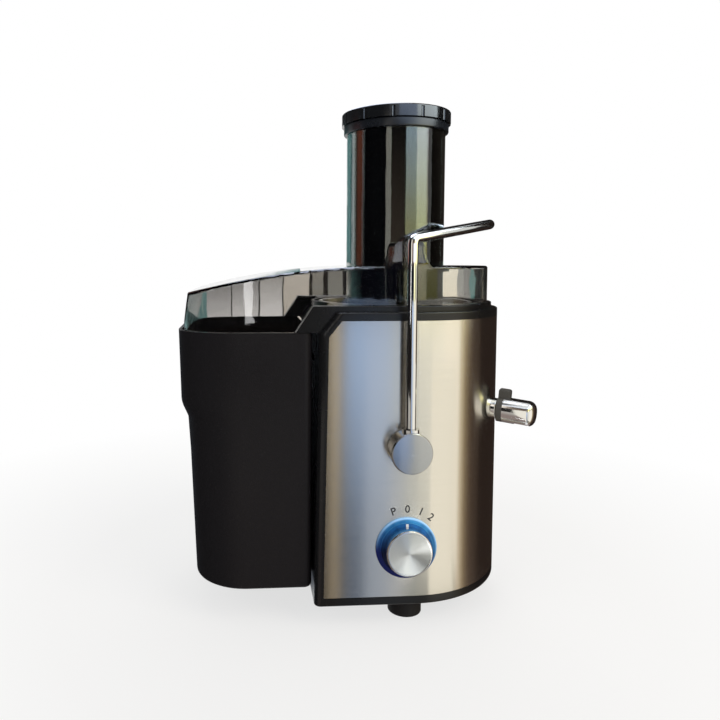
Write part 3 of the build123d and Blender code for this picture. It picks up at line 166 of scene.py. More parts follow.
def per_metre(size_mm: float) -> float:
    """Repeats in a metre of a pattern whose real size is given in millimetres."""
    return 1.0 / (size_mm * MM)


def feed(tree: NodeTree, made: Node, inputs: dict) -> None:
    """Sets or links a node's inputs.

    Args:
        tree: The node tree that holds the node.
        made: The node.
        inputs: Values, or output sockets to link, by input name or index.
    """
    for key, value in inputs.items():
        if isinstance(value, NodeSocket):
            tree.links.new(value, made.inputs[key])
        else:
            made.inputs[key].default_value = value


def add(tree: NodeTree, kind: str, inputs: dict | None = None, **settings: object) -> Node:
    """Adds a shader node with its settings and links.

    Args:
        tree: The node tree to add to.
        kind: The node's type name, without the words ShaderNode.
        inputs: Values or output sockets for its inputs.
        settings: Attributes of the node itself.
    Returns:
        The new node.
    """
    made = tree.nodes.new("ShaderNode" + kind)
    for key, value in settings.items():
        setattr(made, key, value)
    feed(tree, made, inputs or {})
    return made


def blank(name: str) -> Material:
    """Makes a material with no nodes yet.

    Args:
        name: Name of the material.
    Returns:
        The new material.
    """
    made = bpy.data.materials.new(name)
    made.use_nodes = True
    made.node_tree.nodes.clear()
    return made


@dataclass(frozen=True)
class Finish:
    """A real material and the way its surface was made."""

    name: str
    colour: str
    roughness: float
    metallic: float = 0.0
    coat: float = 0.0
    sheen: float = 0.5

    def material(self) -> Material:
        """Makes the material, once.

        Returns:
            The material, shared by all pieces of this finish.
        """
        found = bpy.data.materials.get(self.name)
        if found:
            return found
        made = blank(self.name)
        made.diffuse_color = linear(self.colour)
        tree = made.node_tree
        shader = add(tree, "BsdfPrincipled", {
            "Base Color": linear(self.colour), "Roughness": self.roughness,
            "Metallic": self.metallic, "Coat Weight": self.coat, "Specular IOR Level": self.sheen})
        add(tree, "OutputMaterial", {"Surface": self.dress(tree, shader)})
        return made

    def dress(self, tree: NodeTree, shader: Node) -> NodeSocket:
        """Adds the surface's own pattern.

        Args:
            tree: The material's node tree.
            shader: Its Principled node.
        Returns:
            The socket that shows.
        """
        return shader.outputs["BSDF"]


@dataclass(frozen=True)
class Patterned(Finish):
    """A finish with a fine pattern, which shows as tone and relief and may make the gloss uneven."""

    depth: float = 0.12
    tone: float = 0.1
    uneven: float = 0.0

    def relief(self, tree: NodeTree, shader: Node, pattern: NodeSocket,
               size_mm: float, gloss: NodeSocket | None = None) -> NodeSocket:
        """Works a pattern into the surface.

        Args:
            tree: The material's node tree.
            shader: Its Principled node.
            pattern: The pattern's values.
            size_mm: The pattern's size.
            gloss: Values that the roughness follows, where it is uneven.
        Returns:
            The socket that shows.
        """
        tone = add(tree, "Mix", {
            SHARE: pattern, FIRST: shaded(self.colour, 1 - self.tone),
            SECOND: shaded(self.colour, 1 + self.tone)}, data_type="RGBA")
        bump = add(tree, "Bump", {
            "Height": pattern, "Strength": self.depth, "Distance": size_mm * MM * RELIEF})
        feed(tree, shader, {"Base Color": tone.outputs[MIXED], "Normal": bump.outputs["Normal"]})
        if gloss is not None:
            level = add(tree, "MapRange", {
                "Value": gloss, "From Min": NOISE_LOW, "From Max": NOISE_HIGH,
                "To Min": self.roughness - self.uneven, "To Max": self.roughness + self.uneven})
            feed(tree, shader, {"Roughness": level.outputs["Result"]})
        return shader.outputs["BSDF"]


@dataclass(frozen=True)
class Moulded(Patterned):
    """Moulded plastic, rubber or metal: the mould's even grain, mottled a little where the melt flowed."""

    depth: float = 0.2
    tone: float = 0.12
    uneven: float = 0.05
    grain_mm: float = 0.9
    grain_detail: float = 3.0
    flow_mm: float = 45.0
    flow_detail: float = 4.0

    def dress(self, tree: NodeTree, shader: Node) -> NodeSocket:
        """Adds grain as tone and relief, and mottling as gloss.

        Args:
            tree: The material's node tree.
            shader: Its Principled node.
        Returns:
            The socket that shows.
        """
        where = add(tree, "TexCoord").outputs["Object"]
        grain = add(tree, "TexNoise", {
            "Vector": where, "Scale": per_metre(self.grain_mm), "Detail": self.grain_detail})
        flow = add(tree, "TexNoise", {
            "Vector": where, "Scale": per_metre(self.flow_mm), "Detail": self.flow_detail})
        return self.relief(tree, shader, grain.outputs["Fac"], self.grain_mm, flow.outputs["Fac"])


@dataclass(frozen=True)
class Worked(Patterned):
    """Brushed, ground, plated or laminated metal: fine lines that smear what they mirror."""

    depth: float = 0.05
    tone: float = 0.06
    uneven: float = 0.05
    line_mm: float = 0.6
    run_mm: float = 70.0
    lines: Lines = Lines.ROUND_Z
    detail: float = 5.0
    broken: float = 0.65
    smear: float = 0.0

    def dress(self, tree: NodeTree, shader: Node) -> NodeSocket:
        """Adds lines as tone, relief and gloss, and smears the highlight across them.

        Args:
            tree: The material's node tree.
            shader: Its Principled node.
        Returns:
            The socket that shows.
        """
        along, across = per_metre(self.run_mm), per_metre(self.line_mm)
        scale = {Lines.ROUND_Z: (along, along, across), Lines.ROUND_Y: (along, across, along),
                 Lines.NONE: (across, across, across)}[self.lines]
        where = add(tree, "Mapping", {
            "Vector": add(tree, "TexCoord").outputs["Object"], "Scale": scale})
        line = add(tree, "TexNoise", {
            "Vector": where.outputs["Vector"], "Scale": 1.0, "Detail": self.detail,
            "Roughness": self.broken}).outputs["Fac"]
        if self.smear:
            turn = add(tree, "Tangent", direction_type="RADIAL", axis=self.lines.value)
            feed(tree, shader, {"Tangent": turn.outputs["Tangent"], "Anisotropic": self.smear,
                                "Anisotropic Rotation": QUARTER})
        return self.relief(tree, shader, line, self.line_mm, line)


@dataclass(frozen=True)
class Spun(Patterned):
    """Turned face: rings round its centre, with a highlight that fans out from it."""

    centre: tuple[float, float, float] = (0.0, 0.0, 0.0)
    ring_mm: float = 0.5
    detail: float = 2.0
    smear: float = 1.0

    def dress(self, tree: NodeTree, shader: Node) -> NodeSocket:
        """Adds rings as tone and relief, from the distance to the axis.

        Args:
            tree: The material's node tree.
            shader: Its Principled node.
        Returns:
            The socket that shows.
        """
        flat = add(tree, "Mapping", {
            "Vector": add(tree, "TexCoord").outputs["Object"],
            "Location": (-self.centre[0], 0.0, -self.centre[2]), "Scale": (1.0, 0.0, 1.0)})
        away = add(tree, "VectorMath", {0: flat.outputs["Vector"]}, operation="LENGTH")
        count = add(tree, "Math", {
            0: away.outputs["Value"], 1: per_metre(self.ring_mm)}, operation="MULTIPLY")
        ring = add(tree, "TexNoise", {
            "W": count.outputs["Value"], "Scale": 1.0, "Detail": self.detail}, noise_dimensions="1D")
        turn = add(tree, "Tangent", direction_type="RADIAL", axis="Y")
        feed(tree, shader, {"Tangent": turn.outputs["Tangent"], "Anisotropic": self.smear,
                            "Anisotropic Rotation": QUARTER})
        return self.relief(tree, shader, ring.outputs["Fac"], self.ring_mm)


@dataclass(frozen=True)
class Clear(Finish):
    """Polished clear moulding: glassy, a little smoky, with the slight waves of moulded walls."""

    ior: float = 1.57
    wave_mm: float = 18.0
    wave: float = 0.04
    detail: float = 1.0
    shadow: str = "#c8c8c4"

    def dress(self, tree: NodeTree, shader: Node) -> NodeSocket:
        """Adds waves as relief, and lets light through to what is inside.

        Args:
            tree: The material's node tree.
            shader: Its Principled node.
        Returns:
            The socket that shows.
        """
        where = add(tree, "TexCoord").outputs["Object"]
        wave = add(tree, "TexNoise", {
            "Vector": where, "Scale": per_metre(self.wave_mm), "Detail": self.detail}).outputs["Fac"]
        bump = add(tree, "Bump", {
            "Height": wave, "Strength": self.wave, "Distance": self.wave_mm * MM * RELIEF})
        feed(tree, shader, {
            "Transmission Weight": 1.0, "IOR": self.ior, "Normal": bump.outputs["Normal"]})
        let = add(tree, "BsdfTransparent", {"Color": linear(self.shadow)})
        path = add(tree, "LightPath").outputs["Is Shadow Ray"]
        both = add(tree, "MixShader", {
            0: path, 1: shader.outputs["BSDF"], 2: let.outputs["BSDF"]})
        return both.outputs["Shader"]


@dataclass(frozen=True)
class Lit(Finish):
    """Tinted lens lit from behind, with a painted glow that brightens towards one side and a pale painted
    rim highlight.
    """

    centre: tuple[float, float, float] = (0.0, 0.0, 0.0)
    reach_mm: float = 23.6
    painted_rim_mm: float = 1.8
    patches: float = 3.0
    detail: float = 2.0
    # Direction in which the painted glow and the painted rim highlight brighten
    painted_light_toward: tuple[float, float, float] = (0.44, 0.0, 0.9)
    glow: str = "#4aa6dc"
    # Colour of the painted highlight along the rim
    rim: str = "#9cc8f0"
    strength: float = 0.5

    def dress(self, tree: NodeTree, shader: Node) -> NodeSocket:
        """Adds a patchy painted glow that grows along a slanting line, and a pale painted highlight along
        the rim.

        Args:
            tree: The material's node tree.
            shader: Its Principled node.
        Returns:
            The socket that shows.
        """
        reach = self.reach_mm * MM
        where = add(tree, "Mapping", {
            "Vector": add(tree, "TexCoord").outputs["Object"],
            "Location": tuple(-c for c in self.centre)}).outputs["Vector"]
        along = add(tree, "VectorMath", {
            0: where, 1: self.painted_light_toward}, operation="DOT_PRODUCT").outputs["Value"]
        patch = add(tree, "TexNoise", {
            "Vector": where, "Scale": per_metre(self.reach_mm / self.patches), "Detail": self.detail})
        level = add(tree, "MapRange", {
            "Value": along, "From Min": -reach / 2, "From Max": reach}).outputs["Result"]
        share = add(tree, "Math", {0: level, 1: patch.outputs["Fac"]}, operation="MULTIPLY")
        lens = add(tree, "Mix", {
            SHARE: share.outputs["Value"], FIRST: linear(self.colour), SECOND: linear(self.glow)},
            data_type="RGBA")
        flat = add(tree, "VectorMath", {0: where, 1: (1.0, 0.0, 1.0)}, operation="MULTIPLY")
        away = add(tree, "VectorMath", {0: flat.outputs["Vector"]}, operation="LENGTH")
        # Pale painted highlight along the rim, as strong as the painted glow beside it
        edge = add(tree, "MapRange", {
            "Value": away.outputs["Value"], "From Min": reach - self.painted_rim_mm * MM, "From Max": reach,
            "To Max": level}, interpolation_type="SMOOTHSTEP")
        tone = add(tree, "Mix", {
            SHARE: edge.outputs["Result"], FIRST: lens.outputs[MIXED], SECOND: linear(self.rim)},
            data_type="RGBA").outputs[MIXED]
        # Strength of the painted glow
        painted_glow_power = add(tree, "Math", {0: level, 1: self.strength}, operation="MULTIPLY")
        feed(tree, shader, {
            "Base Color": tone, "Emission Color": tone, "Emission Strength": painted_glow_power.outputs["Value"]})
        return shader.outputs["BSDF"]


CHUTE_LOW, CHUTE_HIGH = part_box("feed_chute")
# Foot of the motor's axis, which chute, basket and round end share
AXIS_X = (CHUTE_LOW.x + CHUTE_HIGH.x) / 2
AXIS = Vector((AXIS_X, 0, 0))
WALL_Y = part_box("steel_wrap")[0].y
DIAL_LOW, DIAL_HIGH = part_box("dial_ring")
DIAL = Vector(((DIAL_LOW.x + DIAL_HIGH.x) / 2, WALL_Y, (DIAL_LOW.z + DIAL_HIGH.z) / 2))

# The real grain of most mouldings and the lines of most metals are a tenth of a millimetre or finer:
# they are drawn several times coarser, so that they show

# Spark-eroded ABS of the container: near black with a fine matt grain
GRAINED_ABS = Moulded("abs_spark_grained_black", "#1b191b", 0.5, sheen=0.2, grain_mm=1.1, depth=0.35,
                      uneven=0.06)
# Satin ABS of the base: black with a soft even sheen
SATIN_ABS = Moulded("abs_satin_black", "#131314", 0.28, sheen=0.45, grain_mm=0.8, depth=0.05)
# Polished ABS of the cap: black with a tight sheen
GLOSS_ABS = Moulded("abs_polished_black", "#111214", 0.18, grain_mm=1.2, depth=0.03, uneven=0.04, coat=0.3)
# Satin ABS of the spout's turn ring: dark grey with a soft sheen
GREY_ABS = Moulded("abs_satin_dark_grey", "#44423f", 0.35, grain_mm=0.8, depth=0.05)
# Satin ABS of the pusher's collar: black, a shade bluer than the base
COLLAR_ABS = Moulded("abs_satin_blue_black", "#15181d", 0.3, grain_mm=0.8, depth=0.04)
# Smoked SAN of the pusher: so dark that it only mirrors, with slow waves
SMOKED_SAN = Moulded("san_smoked_dark", "#0d0a0a", 0.1, grain_mm=6.0, depth=0.02, uneven=0.03, coat=1.0)
# Clear SAN of the lid: glassy and smoky
LID_SAN = Clear("san_clear_smoky", "#d4d2d0", 0.03)
# Clear SAN of the chute: glassy with a faint grey-green edge
CHUTE_SAN = Clear("san_clear_polished", "#ccd6d2", 0.02)
# Brushed 430 stainless of the skin: lines run level round the base and smear reflections upright
BRUSHED_STEEL = Worked("stainless_brushed_level", "#d8d4cc", 0.235, 1.0, line_mm=0.4, run_mm=60.0,
                       smear=0.85, depth=0.02, uneven=0.03)
# Bright chrome on steel rod: a near mirror, a little uneven from polishing
CHROME = Worked("chrome_plated_bright", "#dcdcdc", 0.09, 1.0, line_mm=9.0, lines=Lines.NONE, depth=0.01,
                tone=0.02, uneven=0.03)
# Satin chrome of the pivot caps: blurs what it mirrors
SATIN_CHROME = Worked("chrome_plated_satin", "#b4b5b6", 0.17, 1.0, line_mm=9.0, lines=Lines.NONE,
                      depth=0.03, tone=0.04, uneven=0.04)
# Turned aluminium of the knob: a bright machined rim
KNOB_RIM = Worked("aluminium_turned_bright", "#dadbdc", 0.16, 1.0, line_mm=0.4, run_mm=30.0,
                  lines=Lines.ROUND_Y, smear=0.4)
# Spun aluminium disc: a highlight that fans out over fine rings
SPUN_FACE = Spun("aluminium_spun_face", "#c9cbc8", 0.3, 1.0, centre=tuple(DIAL))
# Blue polycarbonate light ring, lit from behind: deep blue with a painted glow and rim highlight that
# brighten towards one side
LIGHT_RING = Lit("polycarbonate_blue_lit_painted_glow", "#020f55", 0.16, sheen=0.25, centre=tuple(DIAL))
# Tinted polycarbonate skirt of the knob: dark blue, with a painted glow for the ring's light falling on it
TINTED_SKIRT_PAINTED_GLOW = Lit("polycarbonate_blue_skirt_painted_glow", "#010a30", 0.2, sheen=0.25, centre=tuple(DIAL),
                   reach_mm=21.5, glow="#2a80d0", strength=0.35)
# Moulded nitrile rubber of the feet: dull black
RUBBER = Moulded("nitrile_rubber_dull", "#161415", 0.72, depth=0.25)
# Screen-printed epoxy ink of the marks: flat dark grey
INK = Moulded("epoxy_ink_dark", "#26282b", 0.5, grain_mm=0.4, depth=0.05)
# Pad-printed ink of the pointer: flat white
WHITE_INK = Moulded("pad_ink_white", "#eef2f4", 0.45, grain_mm=0.4, depth=0.05)
# Ground tool steel of shaft, bearings and screws: bright grey with fine lines
GROUND_STEEL = Worked("tool_steel_ground", "#b9b9b8", 0.28, 1.0, line_mm=0.3, run_mm=20.0)
# Pressed stainless of the sieve and grating disc: an even satin
PRESSED_STEEL = Worked("stainless_pressed_satin", "#c6c4c0", 0.3, 1.0, line_mm=2.0, lines=Lines.NONE)
# Enamelled copper of windings and commutator: red-brown ridges under a clear coat
COPPER = Worked("copper_enamelled_wound", "#a8542c", 0.35, 1.0, line_mm=0.8, run_mm=50.0, depth=0.5,
                coat=0.4)
# Stacked electrical steel sheets, half a millimetre each: dark level layers
LAMINATED = Worked("electrical_steel_laminated", "#6e6c6b", 0.5, 0.9, line_mm=0.5, run_mm=200.0, depth=0.3)
# Turned brass of bushes and brush holders: yellow with fine lines
BRASS = Worked("brass_turned", "#b5924c", 0.35, 1.0, line_mm=0.4, run_mm=20.0)
# Pressed carbon of the brushes: dull and grainy
CARBON = Moulded("carbon_pressed", "#1c1c1e", 0.6, grain_mm=0.3, depth=0.3)
# Moulded natural nylon of fan, coupling and inner fittings: milky
NYLON = Moulded("nylon_moulded_natural", "#d8d4c6", 0.42, grain_mm=0.8, depth=0.1)
# Moulded phenolic of the switches: dull grey
PHENOLIC = Moulded("phenolic_moulded_grey", "#5a5c5e", 0.5, grain_mm=0.5, depth=0.15)
# Solder-masked glass-epoxy board: green and a little cloudy
BOARD = Moulded("glass_epoxy_board_green", "#1f5a36", 0.35, grain_mm=1.6, depth=0.1, tone=0.3)
# Die-cast zinc-aluminium of the motor's brackets: grey, slightly orange-peeled
DIE_CAST = Moulded("die_cast_alloy_grey", "#8f9092", 0.45, 0.9, grain_mm=1.4, depth=0.25)


def dress(finish: Finish, *nodes: str) -> None:
    """Gives CAD nodes a finish.

    Args:
        finish: The finish they wear.
        nodes: Names of the nodes.
    """
    for name in nodes:
        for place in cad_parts[name].material_slots:
            place.material = finish.material()
        LOG.info("%s wears %s", name, finish.name)


def placed(name: str, shape: BMesh, paint: Material) -> Object:
    """Turns a bmesh into an object of the scene.

    Args:
        name: Name of the object.
        shape: Its mesh, in place, which is freed.
        paint: Its material.
    Returns:
        The new object.
    """
    mesh = bpy.data.meshes.new(name)
    shape.to_mesh(mesh)
    shape.free()
    mesh.materials.append(paint)
    made = bpy.data.objects.new(name, mesh)
    bpy.context.scene.collection.objects.link(made)
    return made


def piece(name: str, shape: BMesh, finish: Finish, body: Body) -> Object:
    """Turns a bmesh into a piece that rides on a body.

    Args:
        name: Name of the piece.
        shape: Its mesh, in place, which is freed.
        finish: The finish it wears.
        body: The body it moves with.
    Returns:
        The new object.
    """
    made = placed(name, shape, finish.material())
    made.data.shade_smooth()
    made.data.set_sharp_from_angle(angle=math.radians(SHARP))
    made.modifiers.new("weighted_normals", "WEIGHTED_NORMAL").keep_sharp = True
    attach(made, body.value)
    LOG.info("%s made, %d faces, rides %s", name, len(made.data.polygons), body.value)
    return made


def closed(shape: BMesh) -> None:
    """Merges doubles and turns all faces outwards."""
    bmesh.ops.remove_doubles(shape, verts=shape.verts, dist=MERGE)
    bmesh.ops.recalc_face_normals(shape, faces=shape.faces)


def turned(points: list[tuple[float, float]], steps: int) -> BMesh:
    """Spins a profile round the motor's axis.

    Args:
        points: Radius and height, in order along the profile.
        steps: Sides of the turned shape.
    Returns:
        The shape.
    """
    shape = bmesh.new()
    out = UP.orthogonal().normalized()
    places = [shape.verts.new(AXIS + out * r + UP * z) for r, z in points]
    edges = [shape.edges.new(pair) for pair in zip(places, places[1:])]
    bmesh.ops.spin(shape, geom=places + edges, cent=AXIS, axis=UP, angle=math.tau, steps=steps,
                   use_merge=True)
    closed(shape)
    return shape


def rounded(shape: BMesh, edges: list[BMEdge], width: float, steps: int) -> None:
    """Rounds edges of a shape.

    Args:
        shape: The mesh.
        edges: The edges.
        width: Width of the rounding.
        steps: Its segments.
    """
    bmesh.ops.bevel(shape, geom=edges, offset=width, offset_type="OFFSET", segments=steps, profile=0.5,
                    affect="EDGES", material=-1, clamp_overlap=True)


def soften(shape: BMesh, width: float) -> None:
    """Rounds all of a shape's crisp edges to a width."""
    crisp = [e for e in shape.edges if e.is_manifold and e.calc_face_angle() > math.radians(CRISP)]
    rounded(shape, crisp, width, ROUND_STEPS)


def wall_y(x: float) -> float:
    """Front of the base's skin at a place across it: flat at the left, round from the motor's axis on."""
    across = max(0.0, x - AXIS_X)
    return -math.sqrt(WALL_Y ** 2 - across ** 2)


@dataclass
class Base:
    """Motor base: moulded shell, brushed skin, cover, feet and what is behind them."""

    def build(self) -> None:
        """Dresses the base's nodes."""
        dress(SATIN_ABS, "housing", "top_deck", "motor_shelf", "base_cover", "juice_bowl")
        dress(BRUSHED_STEEL, "steel_wrap")
        dress(RUBBER, "foot_front", "foot_rear", "foot_left", "foot_right", "cord_gland", "motor_mounts",
              "shaft_seal")
        dress(GROUND_STEEL, "base_screws", "motor_screws", "axle_clips")


@dataclass
class Container:
    """Pulp container: a tapering moulded tub with a finger ledge and a rolled rim."""

    wall: float = 2.2 * MM
    near: float = 79.6 * MM
    foot_reach: float = 171.2 * MM
    step_reach: float = 176.4 * MM
    grip_reach: float = 182.4 * MM
    rim_reach: float = 184.0 * MM
    foot_half: float = 78.6 * MM
    rim_half: float = 81.0 * MM
    far_corner: float = 42.0 * MM
    far_steps: int = 16
    near_corner: float = 6.0 * MM
    near_steps: int = 5
    grip_up: float = 141.0 * MM
    grip_height: float = 13.0 * MM
    foot_round: float = 3.0 * MM
    grip_round: float = 3.2 * MM
    soft_steps: int = 4
    rim_round: float = 0.9 * MM

    def plan(self, shape: BMesh, low: float) -> list[BMEdge]:
        """Draws the foot's outline.

        Args:
            shape: The mesh to draw in.
            low: Height of the foot.
        Returns:
            The outline's edges.
        """
        far, near = AXIS_X - self.foot_reach, AXIS_X - self.near
        corners = [(near, -1), (near, 1), (far, 1), (far, -1)]
        verts = [shape.verts.new((x, sign * self.foot_half, low)) for x, sign in corners]
        shape.faces.new(verts)
        for pair, size, steps in ((verts[:2], self.near_corner, self.near_steps),
                                  (verts[2:], self.far_corner, self.far_steps)):
            bmesh.ops.bevel(shape, geom=pair, offset=size, offset_type="OFFSET", segments=steps,
                            profile=0.5, affect="VERTICES", material=-1)
        bmesh.ops.delete(shape, geom=shape.faces[:], context="FACES_ONLY")
        return shape.edges[:]

    def lift(self, shape: BMesh, ring: list[BMEdge], height: float, reach: float,
             half: float, old: tuple[float, float]) -> list[BMEdge]:
        """Extrudes an outline to a new height and size.

        Args:
            shape: The mesh.
            ring: The outline to go on from.
            height: The new outline's height.
            reach: Its far end from the axis.
            half: Half its width.
            old: The present outline's reach and half width.
        Returns:
            The new outline's edges.
        """
        grown = bmesh.ops.extrude_edge_only(shape, edges=ring)["geom"]
        verts = [g for g in grown if isinstance(g, BMVert)]
        share = ((reach - self.near) / (old[0] - self.near), half / old[1], 1.0)
        fixed = Matrix.Translation((self.near - AXIS_X, 0, 0))
        bmesh.ops.scale(shape, vec=share, verts=verts, space=fixed)
        for vert in verts:
            vert.co.z = height
        return [g for g in grown if isinstance(g, BMEdge)]

    def build(self) -> None:
        """Builds the tub as outer and inner wall and dresses it."""
        low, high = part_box("pulp_container")
        shape = bmesh.new()
        ring = self.plan(shape, low.z)
        foot = ring
        ledge = low.z + self.grip_up
        taper = (self.rim_half - self.foot_half) / (high.z - low.z)
        levels = [
            (ledge - self.grip_height, self.step_reach), (ledge, self.grip_reach), (high.z, self.rim_reach),
        ]
        size = (self.foot_reach, self.foot_half)
        soft = []
        for height, reach in levels:
            half = self.foot_half + taper * (height - low.z)
            ring = self.lift(shape, ring, height, reach, half, size)
            size = (reach, half)
            soft.append(ring)
        inner = (size[0] - self.wall, size[1] - self.wall)
        ring = self.lift(shape, ring, high.z, inner[0], inner[1], size)
        floor = self.foot_reach - self.wall
        ring = self.lift(shape, ring, low.z + self.wall, floor, self.foot_half - self.wall, inner)
        bmesh.ops.contextual_create(shape, geom=ring)
        bmesh.ops.contextual_create(shape, geom=foot)
        closed(shape)
        step, grip, rim = soft
        for edges, width, steps in ((foot, self.foot_round, self.soft_steps),
                                    (step + grip, self.grip_round, self.soft_steps),
                                    (rim, self.rim_round, ROUND_STEPS)):
            rounded(shape, [e for e in edges if e.is_valid], width, steps)
        made = piece("container_tub", shape, GRAINED_ABS, Body.CONTAINER)
        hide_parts("pulp_container")


@dataclass
class Lid:
    """Clear lid with the chute through it."""

    def build(self) -> None:
        """Dresses the clear nodes."""
        dress(LID_SAN, "lid_cover")
        dress(CHUTE_SAN, "feed_chute")


@dataclass
class Pusher:
    """Dark pusher in the chute, with its collar and grooved cap."""

    radius: float = 38.9 * MM
    wall: float = 2.2 * MM
    sleeve_round: float = 2.2 * MM / 3
    collar_radius: float = 44.6 * MM
    collar_height: float = 7.45 * MM
    collar_round: float = 1.1 * MM
    sides: int = 128

    def build(self) -> None:
        """Turns the sleeve and its collar, and dresses the cap."""
        low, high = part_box("pusher_body")
        inner = self.radius - self.wall
        sleeve = turned([(0, low.z), (self.radius, low.z), (self.radius, high.z), (inner, high.z),
                         (inner, low.z + self.wall), (0, low.z + self.wall)], self.sides)
        soften(sleeve, self.sleeve_round)
        made = piece("pusher_sleeve", sleeve, SMOKED_SAN, Body.PUSHER)
        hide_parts("pusher_body")
        foot = high.z - self.collar_height
        collar = turned([(self.radius, foot), (self.collar_radius, foot), (self.collar_radius, high.z),
                         (self.radius, high.z), (self.radius, foot)], self.sides)
        soften(collar, self.collar_round)
        piece("pusher_collar", collar, COLLAR_ABS, Body.PUSHER)
        dress(GLOSS_ABS, "pusher_cap")


@dataclass
class Bail:
    """Chrome locking bail with its hubs, axles and interlock."""

    def build(self) -> None:
        """Dresses the bail's nodes."""
        dress(CHROME, "locking_bail", "bail_hub_front", "bail_hub_rear")
        dress(SATIN_CHROME, "pivot_cap_front", "pivot_cap_rear")
        dress(GROUND_STEEL, "pivot_axle_front", "pivot_axle_rear")
        dress(BRASS, "pivot_bush_front", "pivot_bush_rear")
        dress(NYLON, "interlock_cam", "interlock_button")
        dress(PHENOLIC, "interlock_switch", "rotary_switch")


@dataclass
class Dial:
    """Speed dial: light ring, tinted skirt, turned knob with a spun face, pointer and printed marks.

    Each mark is a sign and its degrees clockwise from the top of the dial.
    """

    marks: tuple[tuple[str, float], ...] = (("P", -19.0), ("0", 1.6), ("1", 22.4), ("2", 40.0))
    mark_height: float = 5.9 * MM
    mark_radius: float = 30.2 * MM
    mark_weight: float = 0.012
    ink: float = 0.06 * MM
    pointer_width: float = 2.0 * MM
    pointer_length: float = 2.0 * MM

    def numeral(self, sign: str) -> BMesh:
        """Draws one mark.

        Args:
            sign: The numeral or letter.
        Returns:
            Its flat mesh, centred and of the marks' height, in the XZ plane.
        """
        curve = bpy.data.curves.new("mark", "FONT")
        curve.body = sign
        curve.offset = self.mark_weight
        holder = bpy.data.objects.new("mark", curve)
        bpy.context.scene.collection.objects.link(holder)
        flat = bpy.data.meshes.new_from_object(holder.evaluated_get(bpy.context.evaluated_depsgraph_get()))
        shape = bmesh.new()
        shape.from_mesh(flat)
        bpy.data.objects.remove(holder)
        bpy.data.curves.remove(curve)
        bpy.data.meshes.remove(flat)
        xs, ys = [v.co.x for v in shape.verts], [v.co.y for v in shape.verts]
        middle = Vector((-(min(xs) + max(xs)) / 2, -(min(ys) + max(ys)) / 2, 0.0))
        share = self.mark_height / (max(ys) - min(ys))
        upright = Matrix.Rotation(math.pi / 2, 3, "X")
        bmesh.ops.translate(shape, vec=middle, verts=shape.verts)
        bmesh.ops.scale(shape, vec=(share, share, share), verts=shape.verts)
        bmesh.ops.rotate(shape, cent=(0, 0, 0), matrix=upright, verts=shape.verts)
        return shape

    def printed(self, sign: str, angle: float) -> None:
        """Prints one mark on the skin, turned to follow the dial.

        Args:
            sign: The numeral or letter.
            angle: Degrees clockwise from the top of the dial.
        """
        shape = self.numeral(sign)
        turn = Matrix.Rotation(math.radians(angle), 3, "Y")
        bmesh.ops.translate(shape, vec=(0, 0, self.mark_radius), verts=shape.verts)
        bmesh.ops.rotate(shape, cent=(0, 0, 0), matrix=turn, verts=shape.verts)
        bmesh.ops.translate(shape, vec=(DIAL.x, 0, DIAL.z), verts=shape.verts)
        for vert in shape.verts:
            vert.co.y = wall_y(vert.co.x) - self.ink
        made = bmesh.ops.extrude_face_region(shape, geom=shape.faces[:])["geom"]
        back = [g for g in made if isinstance(g, BMVert)]
        bmesh.ops.translate(shape, vec=(0, self.ink, 0), verts=back)
        bmesh.ops.recalc_face_normals(shape, faces=shape.faces)
        piece(f"dial_mark_{sign}", shape, INK, Body.BASE)

    def pointer(self) -> None:
        """Prints the pointer on the skirt, at its top."""
        low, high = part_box("knob_skirt")
        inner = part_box("control_knob")[1].z
        shape = bmesh.new()
        middle = Vector((DIAL.x, low.y - self.ink / 2, (inner + high.z) / 2))
        size = Matrix.Diagonal((self.pointer_width, self.ink, self.pointer_length, 1.0))
        bmesh.ops.create_cube(shape, size=1.0, matrix=Matrix.Translation(middle) @ size)
        piece("dial_pointer", shape, WHITE_INK, Body.KNOB)

    def build(self) -> None:
        """Dresses the dial's nodes and prints its marks."""
        dress(LIGHT_RING, "dial_ring")
        # The skirt's glow is painted light from the ring
        dress(TINTED_SKIRT_PAINTED_GLOW, "knob_skirt")
        dress(KNOB_RIM, "control_knob")
        dress(SPUN_FACE, "knob_face")
        dress(BOARD, "led_board")
        dress(NYLON, "selector_stem")
        for sign, angle in self.marks:
            self.printed(sign, angle)
        self.pointer()


@dataclass
class Spout:
    """Juice spout with its turn ring and the elbow behind the wall."""

    def build(self) -> None:
        """Dresses the spout's nodes."""
        dress(CHROME, "spout_collar", "spout_tube")
        dress(GREY_ABS, "turn_ring")
        dress(SATIN_ABS, "outlet_elbow")


